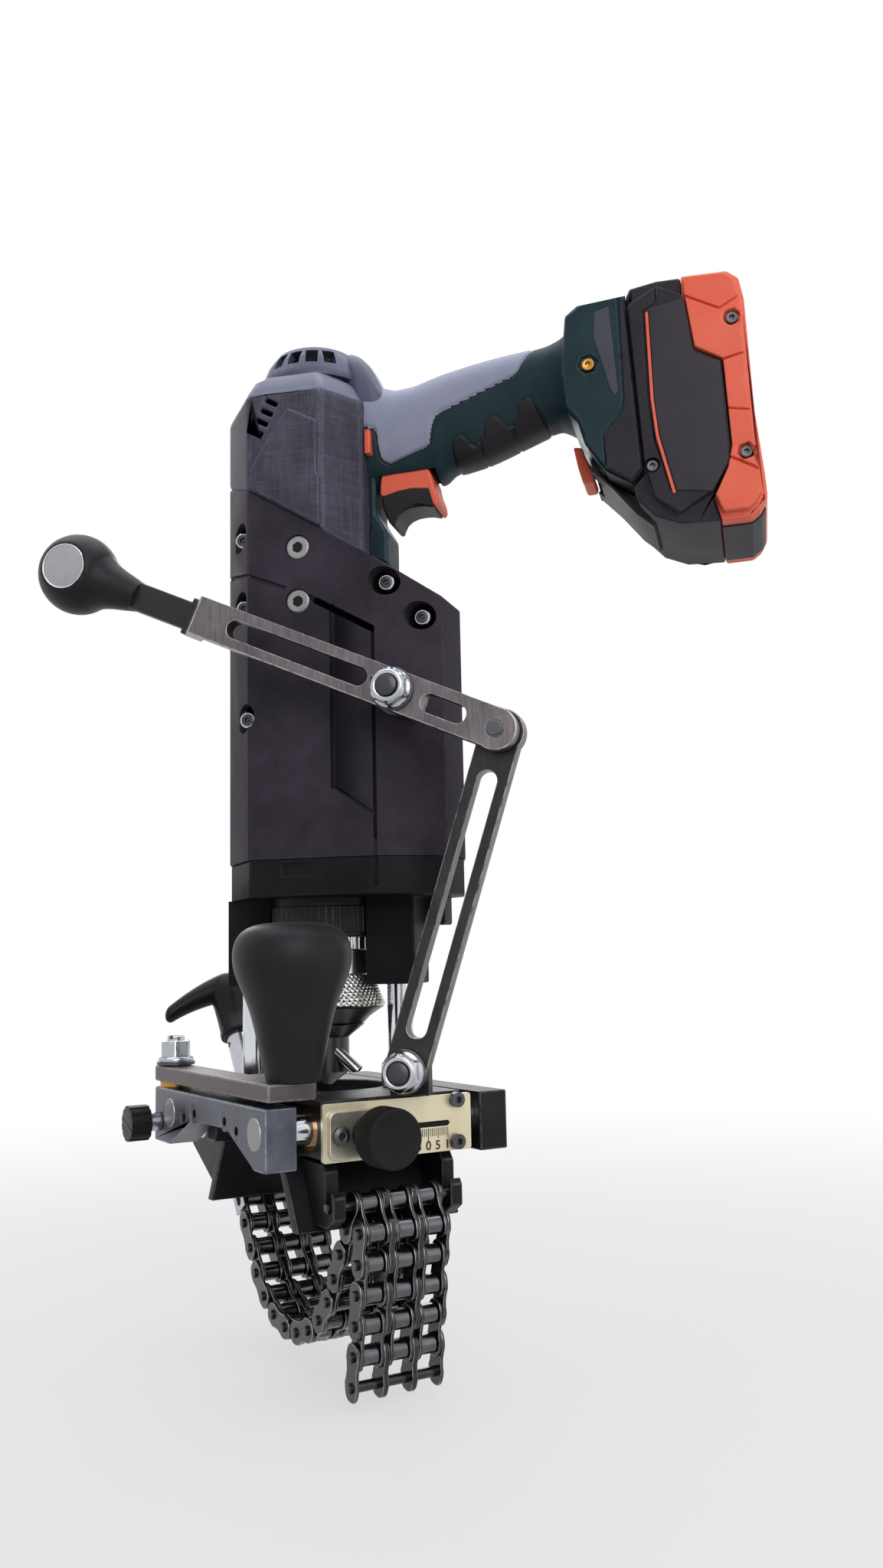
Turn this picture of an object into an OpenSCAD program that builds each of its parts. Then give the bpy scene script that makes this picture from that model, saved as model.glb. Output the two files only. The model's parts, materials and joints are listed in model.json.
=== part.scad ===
// Portable pipe collaring machine: a drive unit on two columns, fed by a hand lever,
// on a cross table that slides over a vee saddle, which a chain clamps to a pipe.
// The pipe runs along X, the spindle along Z. The drive unit is turned about Z.

/* [Pipe seat] */
// Outside diameter of the pipe that the saddle is drawn on
pipe_d = 85; // [76:0.5:90]
// Angle of each seat face from vertical
seat_angle = 28; // [24:1:32]
// Height of the saddle web top above the pipe axis
saddle_top = 52; // [51:0.5:53]
// Lowest point of the saddle legs above the pipe axis
saddle_foot = 4; // [0:1:8]
// Thickness of the slanted legs
leg_t = 5; // [4:0.25:6]
// Half width of the legs along the pipe
leg_x = 40; // [38:0.5:44]
// Radius of the tool hole through the saddle
saddle_hole_r = 31; // [28:0.5:33]

/* [End bars and cross rods] */
// Distance of each bar's inner face from the spindle plane
bar_inner = 45; // [44:0.5:52]
// Thickness of a bar along the pipe
bar_t = 14.5; // [12:0.5:18]
// Front end of both bars, measured from the pipe axis
bar_front = 63; // [63:0.5:63.2]
// Rear end of both bars
bar_rear = 72; // [71:0.5:80]
// Lower face of the bars
bar_z = 32; // [30:0.5:34]
// Height of the bars
bar_h = 26; // [24:0.5:26]
// Diameter of the cross rods
rod_d = 14; // [12:0.5:14]
// Distance of each rod from the pipe axis
rod_y = 51.5; // [51:0.25:52]
// Height of the rods
rod_z = 46.8; // [46.5:0.1:47]

/* [Slide table] */
// Half width of the table along the pipe
table_x = 34.5; // [34:0.25:36]
// Front face of the table
table_y = 63.5; // [63.3:0.1:64]
// Underside of the table plate
table_z = 53; // [52.8:0.1:54]
// Thickness of the table plate
table_t = 6.5; // [5.5:0.25:6.5]
// Radius of the tool hole in the table
table_hole_r = 29; // [28:0.25:29.5]
// Height of the boss round each column foot
boss_h = 4.5; // [3:0.5:6]
// Length of a bronze bush
bush_len = 16; // [10:1:24]

/* [Scale and stop] */
// Width of the scale plate
plate_w = 73; // [70:0.5:76]
// Height of the scale plate
plate_h = 24.3; // [22:0.1:24.5]
// Thickness of the scale plate
plate_t = 2; // [1.5:0.25:3]
// Diameter of the stop knob
stop_knob_d = 25; // [20:0.5:28]
// Length of the stop knob head
stop_knob_len = 14; // [10:0.5:18]

/* [Sway lever] */
// Thickness of the sway lever
sway_t = 7.5; // [6:0.5:9]
// Width of the sway lever
sway_w = 15; // [13:0.5:15]
// Widest diameter of the bulb grip
bulb_d = 51; // [44:1:54]
// Height of the bulb grip
bulb_h = 66; // [58:1:70]

/* [Chain] */
// Chain pitch
pitch = 12.7; // [12.7:0.1:12.9]
// Distance between the three strands
strand = 13.92; // [13.9:0.01:14.2]
// Height of a chain plate
link_h = 11.4; // [10:0.2:11.6]
// Roller diameter
roller_d = 8.5; // [8:0.1:8.8]
// Pin diameter
pin_d = 4.45; // [4:0.05:4.6]
// Number of links from the front hook to the rear anchor
wrap_links = 14; // [14:1:14]

/* [Tightener] */
// Diameter of the tension rod
tension_d = 10; // [8:0.5:11]
// Lean of the tension rod from vertical
tension_lean = 33.5; // [31:0.5:35]
// Length of the socket tube of the tee handle
socket_len = 62; // [52:1:70]
// Span of the tee handle
tee_span = 72; // [60:1:84]

/* [Columns and feed] */
// Turn of the drive unit about the spindle
drive_turn = 45; // [44:0.5:46]
// Diameter of the guide columns
column_d = 12; // [10:0.25:12]
// Distance of each column from the spindle
column_x = 36.4; // [36.4:0.1:37]
// Top end of the columns
column_top = 232; // [215:1:250]
// Height of the lever stud
stud_z = 234; // [228:1:240]
// Offset of the stud and the link bolt from the spindle
stud_x = 53.5; // [52:0.5:54.5]
// Arm of the lever between stud and link pin
lever_arm = 49; // [47:0.5:51]
// Lever tilt at rest
lever_tilt = 24; // [22:0.5:25]
// Distance from the stud to the ball centre
ball_arm = 180; // [170:1:195]
// Lever width
lever_w = 18; // [15:0.5:19]
// Lever thickness
lever_t = 8; // [7:0.5:8]
// Height of the link bolt
bolt_z = 70.5; // [70:0.5:72]
// Diameter of the ball knob
ball_d = 39; // [34:1:44]

/* [Drive casing] */
// Front face of the casing, measured from the spindle
case_front = 42; // [41:0.5:43]
// Casing wall
wall = 3; // [2:0.25:3]
// Seam between casing and skirt
seam_z = 164; // [162:1:166]
// Height of the skirt
skirt_h = 17; // [15:1:18]
// Lower end of the column bosses
sleeve_z = 106.5; // [106:0.5:110]
// Height of the slanted casing top at the spindle
slant_z = 326; // [322:1:330]
// Slope of the casing top
slant = 0.61; // [0.58:0.01:0.64]
// Shoulder of the motor cover
shoulder_z = 387; // [384:1:390]
// Top of the motor cover
cover_top = 402; // [400:1:406]
// Height of the vent cap above the motor cover
cap_h = 20; // [18:1:26]

/* [Spindle] */
// Largest radius of the knurled chuck sleeve
chuck_r = 28; // [24:0.5:28.5]
// Lower edge of the chuck sleeve
chuck_z = 96; // [96:0.5:98]
// Spindle diameter
spindle_d = 16; // [14:0.5:18]
// Radius of the collaring head
head_r = 10.5; // [10:0.25:12]
// Diameter of a forming pin
form_d = 6; // [5:0.25:6.5]

/* [Handle and battery] */
// Width of the grip across
grip_w = 36; // [32:0.5:38]
// Width of the battery across
battery_w = 74; // [66:1:80]
// Width of the foot across
foot_w = 72; // [64:1:73]
// Trigger travel
trigger_travel = 7; // [4:0.5:7]

/* [Clearances] */
// Running fit between a shaft and its bore
run_gap = 0.05; // [0.03:0.01:0.08]
// Gap between faces that slide or pass each other
slip = 0.4; // [0.3:0.05:0.5]

/* [Hidden] */
$fn = 48;
eps = 0.01;
big = 400;
pipe_r = pipe_d / 2;
cap_top = cover_top + cap_h;

// Saddle section, from the pipe seat and the rod housings
relief_z = pipe_r + 3.5;
housing_r = rod_d / 2 + 4.5;
shoulder_y = rod_y - housing_r - 1;
shoulder_saddle_z = rod_z - housing_r - 1.3;
function seat_y(z) = (pipe_r - z * sin(seat_angle)) / cos(seat_angle);
function leg_y(z) = seat_y(z) + leg_t / cos(seat_angle);
web_section = [
    [seat_y(relief_z), relief_z], [seat_y(shoulder_saddle_z), shoulder_saddle_z],
    [shoulder_y, shoulder_saddle_z], [shoulder_y, saddle_top], [0, saddle_top], [0, relief_z]];
leg_section = [
    [seat_y(shoulder_saddle_z + 2), shoulder_saddle_z + 2], [seat_y(saddle_foot), saddle_foot],
    [leg_y(saddle_foot), saddle_foot], [leg_y(shoulder_saddle_z), shoulder_saddle_z],
    [leg_y(shoulder_saddle_z), shoulder_saddle_z + 2]];
bar_outer = bar_inner + bar_t;
bar_top = bar_z + bar_h;

// Screws through the end bars into the saddle
bar_screw_d = 5;
bar_head_d = 8.8;
bar_head_h = 5.5;
bar_screw_len = 26;
bar_screw_at = [[-18.5, (relief_z + saddle_top) / 2], [18.5, (relief_z + saddle_top) / 2],
    [-32, rod_z - 0.6], [32, rod_z - 0.6]];
hex_share = 0.5;

// Table levels
table_top = table_z + table_t;
boss_top = table_top + boss_h;
bush_r = rod_d / 2 + 2;
boss_r = column_d / 2 + 3.5;

// Scale plate, stop and knob
plate_mid = 2;
plate_top = table_top - 1.2;
plate_y = table_y + plate_t;
stop_w = 22.4;
stop_h = 19.8;
stop_t = 2.5;
stop_mid_x = -21.2;
stop_z = 45.2;
stop_y = plate_y + stop_t;
slot_h = 5;
slot_half = 27;
stop_screw_x = -27.5;
stop_axis_x = -15;
stop_stem_d = 4;
stop_neck_d = 14;
stop_neck_len = 11;
plate_screw_x = plate_mid + plate_w / 2 - 3;
plate_screw_d = 6.6;

// Sway lever, pivot at the rear of the left bar
sway_z = table_top + 1;
pivot_x = -(bar_inner + 6.5);
pivot_y = bar_rear - 7;
pivot_d = 10;
sway_left = -bar_outer;
bulb_y = -58;
bulb_x = -44.5;
sway_front = -66;
drive_pin_x = -29.5;
drive_pin_y = -23;
drive_pin_d = 8;
drive_pin_top = sway_z + sway_t - 0.5;
sway_head_w = 22;
// Outline of the bulb grip, as shares of its radius and height
bulb_profile = [[0.44, 0], [0.47, 0.05], [0.54, 0.16], [0.59, 0.26], [0.65, 0.36], [0.72, 0.46], [0.81, 0.55], [0.91, 0.635],
    [0.98, 0.71], [1, 0.78], [0.99, 0.85], [0.94, 0.91], [0.84, 0.955], [0.7, 0.985], [0.52, 1]];

// Chain path: front hook, round the pipe, rear straight
link_r = link_h / 2;
wrap_r = pipe_r + link_r + 0.2;
hook_y = -64;
hook_z = 16;
hook_dist = sqrt(hook_y * hook_y + hook_z * hook_z);
hook_ang = atan2(hook_z, hook_y);
touch_ang = hook_ang + acos(wrap_r / hook_dist);
front_run = sqrt(hook_dist * hook_dist - wrap_r * wrap_r);
leave_ang = 360 - tension_lean;
arc_run = wrap_r * (leave_ang - touch_ang) * PI / 180;
tension_dir = [0, sin(tension_lean), cos(tension_lean)];
leave_pt = [0, wrap_r * cos(leave_ang), wrap_r * sin(leave_ang)];
touch_pt = [0, wrap_r * cos(touch_ang), wrap_r * sin(touch_ang)];
hook_pt = [0, hook_y, hook_z];
function on_wrap(a) = [0, wrap_r * cos(a), wrap_r * sin(a)];
function chain_at(s) =
    s < front_run ? hook_pt + (touch_pt - hook_pt) * s / front_run :
    s < front_run + arc_run ? on_wrap(touch_ang + (s - front_run) / wrap_r * 180 / PI) :
    leave_pt + tension_dir * (s - front_run - arc_run);
function wrap_pin(i) = chain_at(i * pitch);
anchor_run = wrap_links * pitch - front_run - arc_run;
tail_tilt = 30;
tail_top = hook_pt + pitch * [0, -sin(tail_tilt), -cos(tail_tilt)];
tail_hang = 8;
function tail_pin(i) = tail_top + pitch * (i - 1) * [0, sin(tail_hang), -cos(tail_hang)];
plate_in = 1.5;
plate_mid_t = 2.7;
inner_half = 3.9;
strand_half = inner_half + plate_in;
chain_half = strand + strand_half + 0.2 + plate_in;
pin_half = chain_half + 1.4;
hook_pin_half = 33;

// Hook cheeks and tension bracket beside the chain
cheek_x = 25.5;
cheek_t = 6;
cheek_drop = 3;
trunnion_run = anchor_run + 42;
trunnion_d = 20;
trunnion_pt = leave_pt + tension_dir * trunnion_run;
seat_run = trunnion_run + trunnion_d / 2 + 1;
socket_d = 13;
hub_len = 36;
hub_over = 13;
hub_d = 18;
anchor_t = 12;
anchor_len = 20;

// Drive frame levels, all in the turned frame
skirt_z = seam_z - skirt_h;
sleeve_d = column_d + 3;
torque_r = 26;
torque_z = skirt_z - 18;
gear_r = 28.3;
boss_span = [[-45.2, -24], [24, 47.4]];
boss_half = 13;
case_plan = [
    [-23, -case_front], [38, -case_front], [67, -25], [71, -6], [66, 16], [50, 33],
    [30, case_front], [-22, case_front], [-44, 20], [-48, 8], [-48, -2], [-44, -13]];
cover_plan = [
    [-23, -case_front], [14, -case_front], [28, -22], [28, 22], [14, case_front],
    [-22, case_front], [-44, 20], [-47, 8], [-47, -2], [-44, -13]];
cover_taper = 13;
vent_at = [-22, -case_front - 5, 369.5];
vent_step = [2.5, 0, 4.7];
vent_len = 7;
cover_side = 28;
cap_x = -2.6;
cap_r = 28;
motor_hole_r = 33;
function slant_at(u) = slant_z - slant * u;
function unit(v) = v / norm(v);
function edge_normal(a, b) = unit([a[1] - b[1], b[0] - a[0]]);
// Outline moved inwards by d, for a convex outline listed counter-clockwise
function inset(pts, d) = [for (i = [0 : len(pts) - 1])
    let (n = len(pts), a = pts[(i + n - 1) % n], p = pts[i], b = pts[(i + 1) % n],
        n1 = edge_normal(a, p), n2 = edge_normal(p, b))
    p + d * (n1 + n2) / (1 + n1 * n2)];

groove_depth = 1.4;
case_grooves = [[[-52, 310], [-5, 291], 2], [[8, 285.5], [37, 269], 2], [[18.5, 280], [18.5, 196], 2.4],
    [[18.5, 196], [37.5, 183], 1.8], [[38, 266], [38, seam_z - 4], 1.2]];
// Casing screws: flat heads on the front, sunk socket heads elsewhere
flat_screws = [[1.8, slant_z - 16], [1.8, slant_z - 42]];
flat_head_d = 11.4;
flat_head_h = 3.5;
sunk_screws = [[43, slant_z - 35, -35.5], [57.6, slant_z - 50.5, -27], [-31.5, slant_z - 5, -26],
    [-31, slant_z - 39, -26.5], [-26.5, seam_z + 67, -33]];
sunk_head_d = 8.5;
sunk_hole_d = 11;
sunk_len = 12;

// Lever, link and their pivots in the turned frame
lever_back = case_front + 15;
lever_front = lever_back + lever_t;
link_front = lever_back - 1;
link_back = link_front - lever_t;
bracket_front = link_back - slip;
bracket_back = 24;
bracket_half = 9;
bracket_plan = [[stud_x - bracket_half, -bracket_front], [stud_x + bracket_half - 0.5, -bracket_front],
    [stud_x + bracket_half - 0.5, -bracket_front + 6.5], [stud_x + 1.5, -bracket_back - 9],
    [stud_x + 1.5, -bracket_back], [stud_x - bracket_half, -bracket_back]];
bracket_screws = [[stud_x - 3.7, -bracket_back - 3.5], [stud_x - 3.7, -bracket_back - 9.5]];
bracket_top = bolt_z + bracket_half;
bolt_back = bracket_front - 10;
pin_x = stud_x + lever_arm * cos(lever_tilt);
pin_z = stud_z - lever_arm * sin(lever_tilt);
link_w = 18.5;
link_slot_w = 9;
link_pin_d = 8;
// The link swings a little at mid stroke, so its eye is wider than the pin
eye_slot = [-1, lever_arm * (1 - cos(lever_tilt)) - 0.8];
eye_shift = 0.8;
eye_d = link_pin_d + 3.4 * slip;
link_end_d = 20.5;
stud_d = 12;
bolt_d = 10;
bracket_screw_d = 3.5;
lever_slot_w = 8.5;
bend_at = 102;
bend_run = 11;
arm_w = 13.5;
bend_back = 20;
arm_end = ball_arm - ball_d / 2 + 4;
badge_r = 12.5;
badge_t = 1.2;

// Spindle stack
head_top = chuck_z - 8;
head_low = 66;
tip_low = 60;
form_lean = 48.5;
form_off = 5.2;
form_len = 22;
form_out = 11.5;
form_rise = 15;
rotor_z0 = slant_z + 6;
rotor_z1 = shoulder_z - 2;
stator_r = cover_side - wall - 0.5;
rotor_r = 17;
motor_shaft_d = 8;
gear_top = slant_z - 20;

// Handle stations: distance out, lower edge, upper edge
grip_stations = [[cover_side, 352, 399], [40, 355, 395.5], [62, 357.5, 400], [95, 367.5, 405.5], [130, 378.5, 410.5]];
grip_round = 12;
switch_box = [[34, 368], [62, 396]];
trigger_w = 20;
trigger_outline = [[32.5, 353], [35, 357], [56, 355.5], [60.4, 347.5], [58.7, 341.5], [46.3, 342],
    [40, 339.5], [37, 334.5], [34, 335.5], [33, 342]];
button_z = 367;
button_x = 28.6;
button_t = 3;
button_h = 12;
button_len = 41;

// Foot and battery outlines in the turned frame, distance out and height
slide_lean = 3.75;
foot_outline = [[130, 410], [136, 414.6], [157.4, 416.4], [162.9, 331.5], [158, 326.5], [147, 333.5],
    [138, 347], [135, 358], [129, 366], [127.5, 384]];
case_outline = [[157.9, 415.5], [160, 419.5], [172, 421.5], [183, 421.5], [184, 411], [187.5, 385],
    [199.5, 378], [201.5, 338], [199.5, 329], [193, 316.5], [196, 306], [178, 306.5], [167, 311],
    [160.5, 318], [158, 325.8], [163.5, 331.2]];
nose_outline = [[164, 325], [158, 325.8], [146.4, 333], [137.6, 346.4], [132, 347], [132, 342.5], [139, 339], [148, 329.5],
    [158, 317], [166, 310]];
nose_w = 42;
bumper_outline = [[183.2, 421.8], [203.5, 421.5], [208.5, 417.5], [210.5, 407], [212.5, 354],
    [215.4, 325], [216, 315], [213, 309], [209, 306], [196.3, 305.5], [193.3, 316.5], [199.8, 329],
    [201.8, 338.2], [199.8, 378.3], [187.8, 385.3], [184.3, 411.2]];
bumper_side = [[184.4, 419.5], [202.5, 419], [206.3, 415.8], [208.3, 406], [210.3, 354], [213.2, 325], [213.5, 316],
    [211, 311.5], [208, 309], [197, 308.5], [194, 316.5], [200.1, 329], [202.1, 338.3], [200.1, 378.6], [188.1, 385.6],
    [184.6, 411.4]];
rail_mid = [160.3, 372];
rail_len = 74;
rail_neck = 14;
rail_head = 19;
rail_step = 3.2;
release_outline = [[128.4, 357], [133.4, 356.4], [134.3, 352], [135.4, 347.6], [131.6, 347.6],
    [131.6, 341.6], [129.8, 341.6]];
release_pin_d = 3;
release_pin_z = 342.9;
release_w = 18;

// Shared shapes

// Cylinder along X, Y or Z from its start point
module along_x(d, l) { rotate([0, 90, 0]) cylinder(d = d, h = l); }
module along_y(d, l) { rotate([-90, 0, 0]) cylinder(d = d, h = l); }
// Outline in Y and Z, drawn out along X
module prism_x(pts, x0, x1) {
    translate([x0, 0, 0]) rotate([90, 0, 90]) linear_extrude(x1 - x0) polygon(pts);
}
// Outline in X and Z, drawn out along Y
module prism_y(pts, y0, y1) {
    translate([0, y1, 0]) rotate([90, 0, 0]) linear_extrude(y1 - y0) polygon(pts);
}
// Straight slot along Z between two centres, in X and Z, cut through Y
module slot_y(a, b, w, y0, y1) {
    dir = b - a;
    for (p = [a, b]) translate([p[0], y0, p[1]]) along_y(w, y1 - y0);
    translate([a[0], y0, a[1]]) rotate([0, -atan2(dir[1], dir[0]), 0])
        translate([0, 0, -w / 2]) cube([norm(dir), y1 - y0, w]);
}
// Socket head screw along +X from the face of its head
module socket_screw_x(d, head_d, head_h, len) {
    difference() {
        union() {
            along_x(head_d, head_h);
            along_x(d, len);
        }
        translate([-eps, 0, 0]) rotate([0, 90, 0]) cylinder(d = head_d * hex_share, h = head_h * 0.6, $fn = 6);
    }
}
module in_drive() { rotate([0, 0, -drive_turn]) children(); }
// Place a child that points along +Z onto the tension line
module on_tension(run) {
    translate(leave_pt + tension_dir * run) rotate([-tension_lean, 0, 0]) children();
}
module plan_block(pts, z0, z1) { translate([0, 0, z0]) linear_extrude(z1 - z0) polygon(pts); }
// Everything under the slanted seam
module under_slant(drop) {
    prism_y([[-big / 4, 0], [big / 4, 0], [big / 4, slant_at(big / 4) - drop], [-big / 4, slant_at(-big / 4) - drop]],
        -big / 4, big / 4);
}

// Base: saddle, bars, rods and chain

module half_saddle() {
    prism_x(web_section, -bar_inner, bar_inner);
    prism_x(leg_section, -leg_x, leg_x);
}
module saddle_block() {
    color("#1d1c1e") difference() {
        union() {
            half_saddle();
            mirror([0, 1, 0]) half_saddle();
        }
        cylinder(r = saddle_hole_r, h = saddle_top + 1);
        for (p = bar_screw_at, s = [-1, 1])
            translate([s * bar_outer, p[0], p[1]]) rotate([0, 0, s > 0 ? 180 : 0])
                along_x(bar_screw_d + 2 * run_gap, bar_screw_len + 1);
    }
}
module end_bar(side) {
    notch_low = rod_y + 0.2;
    notch_high = 21;
    difference() {
        translate([side > 0 ? bar_inner : -bar_outer, -bar_front, bar_z])
            cube([bar_t, bar_front + bar_rear, bar_h]);
        prism_x([[-notch_low, bar_z - 1], [notch_low, bar_z - 1], [notch_low, bar_z],
            [notch_high, relief_z], [-notch_high, relief_z], [-notch_low, bar_z]], -bar_outer - 1, bar_outer + 1);
        for (s = [-1, 1])
            translate([-bar_outer - 1, s * rod_y, rod_z]) along_x(rod_d + 2 * run_gap, 2 * bar_outer + 2);
        for (p = bar_screw_at) translate([side * bar_outer, p[0], p[1]]) rotate([0, 0, side > 0 ? 180 : 0]) {
            translate([-1, 0, 0]) along_x(bar_head_d + 2 * run_gap, bar_head_h + 1);
            along_x(bar_screw_d + 2 * run_gap, bar_t + 1);
        }
        children();
    }
}
lock_y = pivot_y;
lock_z = bar_z + 9.5;
lock_stem_d = 9;
lock_d = 17;
lock_len = 10;
lock_stem_len = 6.5;
lock_thread_d = 6;
module left_end_bar() {
    color("#5c626c") end_bar(-1) {
        translate([pivot_x, pivot_y, bar_z - 1]) cylinder(d = pivot_d + 2 * run_gap, h = bar_h + 2);
        translate([-bar_outer - 1, lock_y, lock_z]) along_x(lock_thread_d + 2 * run_gap, 3.5);
    }
}
module right_end_bar() { color("#17171a") end_bar(1); }
module cross_rods() {
    color("#c9cbd0") for (s = [-1, 1])
        translate([-bar_outer - 0.2, s * rod_y, rod_z]) along_x(rod_d, 2 * bar_outer + 0.4);
}
module base_screws() {
    color("#3a3b40") for (p = bar_screw_at, s = [-1, 1])
        translate([s * bar_outer, p[0], p[1]]) rotate([0, 0, s > 0 ? 180 : 0])
            translate([0.2, 0, 0]) socket_screw_x(bar_screw_d, bar_head_d, bar_head_h - 0.2, bar_screw_len);
}

// One chain plate between two pins, lying in the YZ plane
module link_plate(a, b, t) {
    dir = b - a;
    rotate_to = atan2(dir[2], dir[1]);
    for (p = [a, b]) translate(p) along_x(link_h, t);
    translate(a) rotate([rotate_to, 0, 0]) translate([0, 0, -link_h * 0.38]) cube([t, norm(dir), link_h * 0.76]);
}
// Inner link: two plates and two rollers on each strand, pressed into one piece
module inner_link(a, b) {
    difference() {
        for (k = [-1 : 1]) translate([k * strand, 0, 0]) {
            for (s = [-strand_half, inner_half]) translate([s, 0, 0]) link_plate(a, b, plate_in);
            for (p = [a, b]) translate(p - [inner_half + eps, 0, 0]) along_x(roller_d, 2 * inner_half + 2 * eps);
        }
        for (p = [a, b]) translate(p - [chain_half, 0, 0]) along_x(pin_d + 2 * run_gap, 2 * chain_half);
    }
}
// Outer link: two outside plates, two middle plates and the two pins
module outer_link(a, b, first_half, last_half) {
    for (s = [-1, 1]) {
        translate([s > 0 ? chain_half - plate_in : -chain_half, 0, 0]) link_plate(a, b, plate_in);
        translate([s * strand / 2 - plate_mid_t / 2, 0, 0]) link_plate(a, b, plate_mid_t);
    }
    translate(a - [first_half, 0, 0]) along_x(pin_d, 2 * first_half);
    translate(b - [last_half, 0, 0]) along_x(pin_d, 2 * last_half);
}
module chain_wrap() {
    color("#2b2a2c") {
        for (i = [0 : wrap_links - 1])
            if (i % 2 == 1) inner_link(wrap_pin(i), wrap_pin(i + 1));
            else outer_link(wrap_pin(i), wrap_pin(i + 1), i == 0 ? hook_pin_half : pin_half, pin_half);
        translate(wrap_pin(wrap_links) - [pin_half, 0, 0]) along_x(pin_d, 2 * pin_half);
        inner_link(hook_pt, tail_top);
    }
}
module tail_link(i) {
    a = tail_pin(i);
    b = tail_pin(i + 1);
    color("#2b2a2c") if (i % 2 == 0) inner_link(a, b);
    else outer_link(a, b, pin_half, pin_half);
}
module tail_link_1() { tail_link(1); }
module tail_link_2() { tail_link(2); }
module tail_link_3() { tail_link(3); }
module tail_link_4() { tail_link(4); }
module tail_link_5() { tail_link(5); }

// Cheeks on the legs: an open notch in front for the long chain pin, a trunnion bearing behind
cheek_low = saddle_foot + cheek_drop;
cheek_high = shoulder_saddle_z - 1;
module cheek_pair(pts) {
    for (s = [-1, 1]) prism_x(pts, s > 0 ? cheek_x : -cheek_x - cheek_t, s > 0 ? cheek_x + cheek_t : -cheek_x);
}
module leg_brackets() {
    notch_w = pin_d + 2 * slip;
    ty = trunnion_pt[1];
    tz = trunnion_pt[2];
    reach = trunnion_d / 2 + 3;
    color("#1d1c1e") difference() {
        union() {
            cheek_pair([[-leg_y(cheek_low), cheek_low], [-leg_y(cheek_high), cheek_high], [hook_y + 5, cheek_high],
                [hook_y - 4.5, hook_z + 4], [hook_y - 4.5, hook_z - 5], [hook_y + 2, cheek_low]]);
            cheek_pair([[leg_y(cheek_low), cheek_low], [leg_y(cheek_low) + 12, cheek_low], [ty + reach, tz - reach + 2],
                [ty + reach, tz + reach - 4], [ty + reach - 4, tz + reach], [ty - 6, tz + reach],
                [table_y + slip, cheek_high], [leg_y(cheek_high), cheek_high]]);
        }
        translate([-big / 2, hook_y, hook_z]) along_x(notch_w, big);
        translate([-big / 2, hook_y - notch_w / 2, hook_z]) cube([big, notch_w, big]);
        translate([-big / 2, ty, tz]) along_x(trunnion_d - 6 + 2 * run_gap, big);
    }
}
module tension_trunnion() {
    color("#8d8f94") difference() {
        union() {
            translate(trunnion_pt - [cheek_x - slip, 0, 0]) along_x(trunnion_d, 2 * (cheek_x - slip));
            translate(trunnion_pt - [cheek_x + cheek_t, 0, 0]) along_x(trunnion_d - 6, 2 * (cheek_x + cheek_t));
        }
        on_tension(trunnion_run - trunnion_d) cylinder(d = tension_d + 2 * run_gap, h = 2 * trunnion_d);
        on_tension(seat_run - 2) cylinder(d = socket_d + 2, h = trunnion_d);
    }
}
// Threaded rod with the anchor that holds the last chain pin
module tension_rod() {
    reach = seat_run - anchor_run + socket_len - 6;
    color("#b9bbc0") difference() {
        on_tension(anchor_run) union() {
            translate([-chain_half, -anchor_t / 2, link_r + 1.4]) cube([2 * chain_half, anchor_t, anchor_len - link_r - 1.4]);
            for (x = [-chain_half, -strand / 2 - plate_mid_t / 2, strand / 2 - plate_mid_t / 2, chain_half - plate_in])
                translate([x, -anchor_t / 2, -anchor_t / 2])
                    cube([abs(x) > strand ? plate_in : plate_mid_t, anchor_t, anchor_t / 2 + link_r + 2]);
            translate([0, 0, anchor_len - eps]) cylinder(d = tension_d, h = reach - anchor_len);
        }
        on_tension(anchor_run) for (z = [-0.9, 0.9])
            translate([-chain_half, 0, z]) along_x(pin_d + 2 * slip, 2 * chain_half);
    }
}
module tee_socket() {
    color("#d4d6da") difference() {
        on_tension(seat_run) union() {
            translate([0, 0, -2 + run_gap]) cylinder(d = socket_d, h = socket_len + 2);
        }
        on_tension(seat_run - 3) cylinder(d = tension_d + 2 * run_gap, h = socket_len - 2);
        on_tension(seat_run + socket_len * 0.55) translate([-socket_d, 0, 0]) along_x(3.2, 2 * socket_d);
        on_tension(seat_run + socket_len * 0.2) translate([-0.6, -socket_d, 0]) cube([1.2, socket_d, socket_len * 0.35]);
    }
}
tee_turn = 22;
tee_droop = 10;
module tee_handle() {
    top = seat_run + socket_len + hub_over;
    color("#1b1b1d") difference() {
        on_tension(0) rotate([0, 0, -tee_turn]) union() {
            translate([0, 0, top - hub_len]) cylinder(d1 = hub_d, d2 = hub_d + 4, h = hub_len);
            for (s = [-1, 1]) hull() {
                translate([0, 0, top - 4]) rotate([90, 0, 0]) cylinder(d = 17, h = 15, center = true, $fn = 32);
                translate([s * (tee_span / 2 - 5), 0, top - 4 - tee_droop]) rotate([90, 0, 0])
                    cylinder(d = 9, h = 9, center = true, $fn = 32);
            }
        }
        on_tension(top - hub_len - 1) cylinder(d = socket_d + 2 * run_gap, h = socket_len + seat_run - top + hub_len + 1 + slip);
    }
}

// Sway lever and its pivot

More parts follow.
